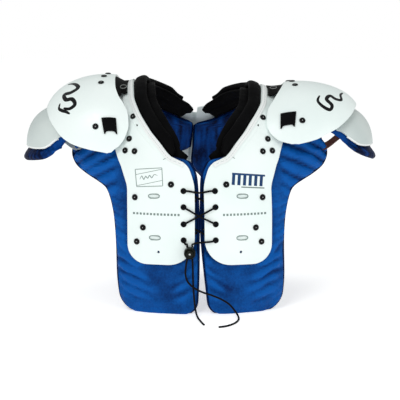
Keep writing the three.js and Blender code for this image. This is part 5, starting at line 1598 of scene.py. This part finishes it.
for side, (along, across) in RING_PLACES.items():
    aim = over_body(along, SIDES[side]["sign"] * across, 0.0066)[0]
    best = int(np.argmin(np.linalg.norm(strap_point(side, shares, ways) - aim, axis=1)))
    u, v, step = shares[best], ways[best], 0.03
    nearby = np.array([(u, v), (u + step, v), (u - step, v), (u, v + step), (u, v - step)])
    spots = strap_point(side, *nearby.T)
    centre, first, second = spots[0], spots[1] - spots[2], spots[3] - spots[4]
    first /= np.linalg.norm(first)
    out = np.cross(first, second)
    out *= (-1 if out[2] < 0 else 1) / np.linalg.norm(out)
    second = np.cross(out, first)

    def flat_ring(a, b, height):
        above = STRAP_THICKNESS + 0.0012 + height + 0 * a
        return centre + np.outer(a, first) + np.outer(b, second) + np.outer(above, out)

    ring = band(flat_ring, oval(0, 0, *RING_SIZE), 0.0014, 0.0, 0.0009)
    add_marks(side + "_strap_ring", [ring], GREY_RING)
print("two strap rings")

# %% Path of the lace
LACE_OVER = SHELL_WALL + 0.0003 + LACE_RADIUS
LACE_UNDER = -0.0008 - LACE_RADIUS
LACE_PASS = 2 * LACE_RADIUS + 0.0003
LOCK_RADIUS = 0.0088
LOCK_LENGTH = 0.0124
LOCK_X = -0.015
LOCK_Z = 0.096
LOCK_LACE_X = 0.004


def body_point(along, across, height):
    return over_body(along, across, height)[0]


def through_eyelet(along, sign, enter, leave):
    """The lace's points down through an eyelet: over the shell from one way, under it to another."""
    at = lambda step, distance, height: body_point(
        along + step[0] * distance / FORM_LENGTH, sign * EYELET_ACROSS + step[1] * distance, height)
    return [
        at(enter, 0.006, LACE_OVER), at(enter, 0.0024, LACE_OVER + 0.0002),
        at(enter, 0.0005, SHELL_WALL + 0.0005), at(leave, 0.0005, -0.0005),
        at(leave, 0.0026, LACE_UNDER - 0.0002), at(leave, 0.006, LACE_UNDER),
    ]


def direction(from_along, from_across, to_along, to_across):
    way = np.array([(to_along - from_along) * FORM_LENGTH, to_across - from_across])
    return way / np.linalg.norm(way)


def lock_back():
    """Where the lock's back rests on the shell, in metres from the front."""
    along = 0.1
    for _ in range(8):
        along += (LOCK_Z - body_point(along, LOCK_X, SHELL_WALL)[2]) / FORM_LENGTH
    return body_point(along, LOCK_X, SHELL_WALL)[1] - 0.0003


def lace_half(sign):
    """The lace's points on its way down from a top eyelet to the lock."""
    first, second, third, fourth = EYELETS
    lift = 1 if sign > 0 else 0
    way = lambda a, b, s: direction(a, s * EYELET_ACROSS, b, -s * EYELET_ACROSS)
    bar = np.array([0, -sign])
    under1, over, under2 = way(first, second, sign), way(second, third, -sign), way(third, fourth, sign)
    x = LOCK_X - sign * LOCK_LACE_X
    top = LOCK_Z + math.sqrt(LOCK_RADIUS**2 - LOCK_LACE_X**2) + 0.0003
    y = lock_back() - LOCK_LENGTH / 2
    to_lock = direction(fourth, -sign * EYELET_ACROSS, fourth - 0.012, x)
    middle = lambda a, b, height: body_point((a + b) / 2, 0, height)
    return [
        *through_eyelet(first, sign, bar, under1),
        middle(first, second, LACE_UNDER - LACE_PASS * lift),
        *through_eyelet(second, -sign, over, -under1)[::-1],
        middle(second, third, LACE_OVER + LACE_PASS * lift),
        *through_eyelet(third, sign, -over, under2),
        middle(third, fourth, LACE_UNDER - LACE_PASS * lift),
        *through_eyelet(fourth, -sign, to_lock, -under2)[::-1],
        np.array([x, y + 0.0015, top + 0.005]), np.array([x, y, top + 0.0006]),
    ]


bar = [body_point(EYELETS[0] - 0.003 * (1 - abs(s)), -s * EYELET_ACROSS, LACE_OVER) for s in (0.25, 0, -0.25)]
lace_line = through([*lace_half(-1)[::-1], *bar, *lace_half(1)], 4)
mesh, length = tube_on(lace_line, LACE_RADIUS)
piece_from(mesh, "lace_cord", LACE, ["lace"], smooth_angle=None)
print("the lace is", round(length, 3), "m long")

# %% Cord lock
front = lock_back() - LOCK_LENGTH
BARREL = [
    (0.0062, 0.0009), (0.0064, 0.0002), (0.0072, 0), (0.0078, 0), (0.0085, 0.0006), (0.0088, 0.0016),
    (0.0086, 0.004), (0.0083, 0.0046), (0.0083, 0.0078), (0.0086, 0.0084), (0.0088, 0.0108), (0.0084, 0.012),
    (0.0078, 0.0124), (0, 0.0124), (0, 0.0094), (0.0061, 0.0094), (0.0061, 0.0016), (0.0062, 0.0009),
]
BUTTON = [
    (0, -0.0026), (0.0012, -0.0026), (0.0016, -0.0031),
    (0.0038, -0.0034), (0.0048, -0.0031), (0.0055, -0.0024),
    (0.0056, -0.001), (0.0056, 0.0062), (0, 0.0062),
]
LOCK_PIN = [(0, 0.0012), (0.0014, 0.001), (0.0016, 0.0004), (0.0016, -0.001)]
centre = (LOCK_X, front, LOCK_Z)
barrel = turned(BARREL, centre, (0, 1, 0), 40)
piece_from(barrel, "lock_barrel", LOCK, ["cord_lock_barrel"], smooth_angle=40)
button = turned(BUTTON, centre, (0, 1, 0), 36)
piece_from(button, "lock_button", LOCK, ["cord_lock_button"], "button", 40)
pin = turned(LOCK_PIN, (LOCK_X, front - 0.0023, LOCK_Z), (0, -1, 0), 16)
piece_from(pin, "lock_pin", SILVER, (), "button", 50)
print("cord lock")

# %% Sizes
dressed_box = [list(corner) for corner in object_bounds()]
print("dressed box", [[round(x, 4) for x in corner] for corner in dressed_box])
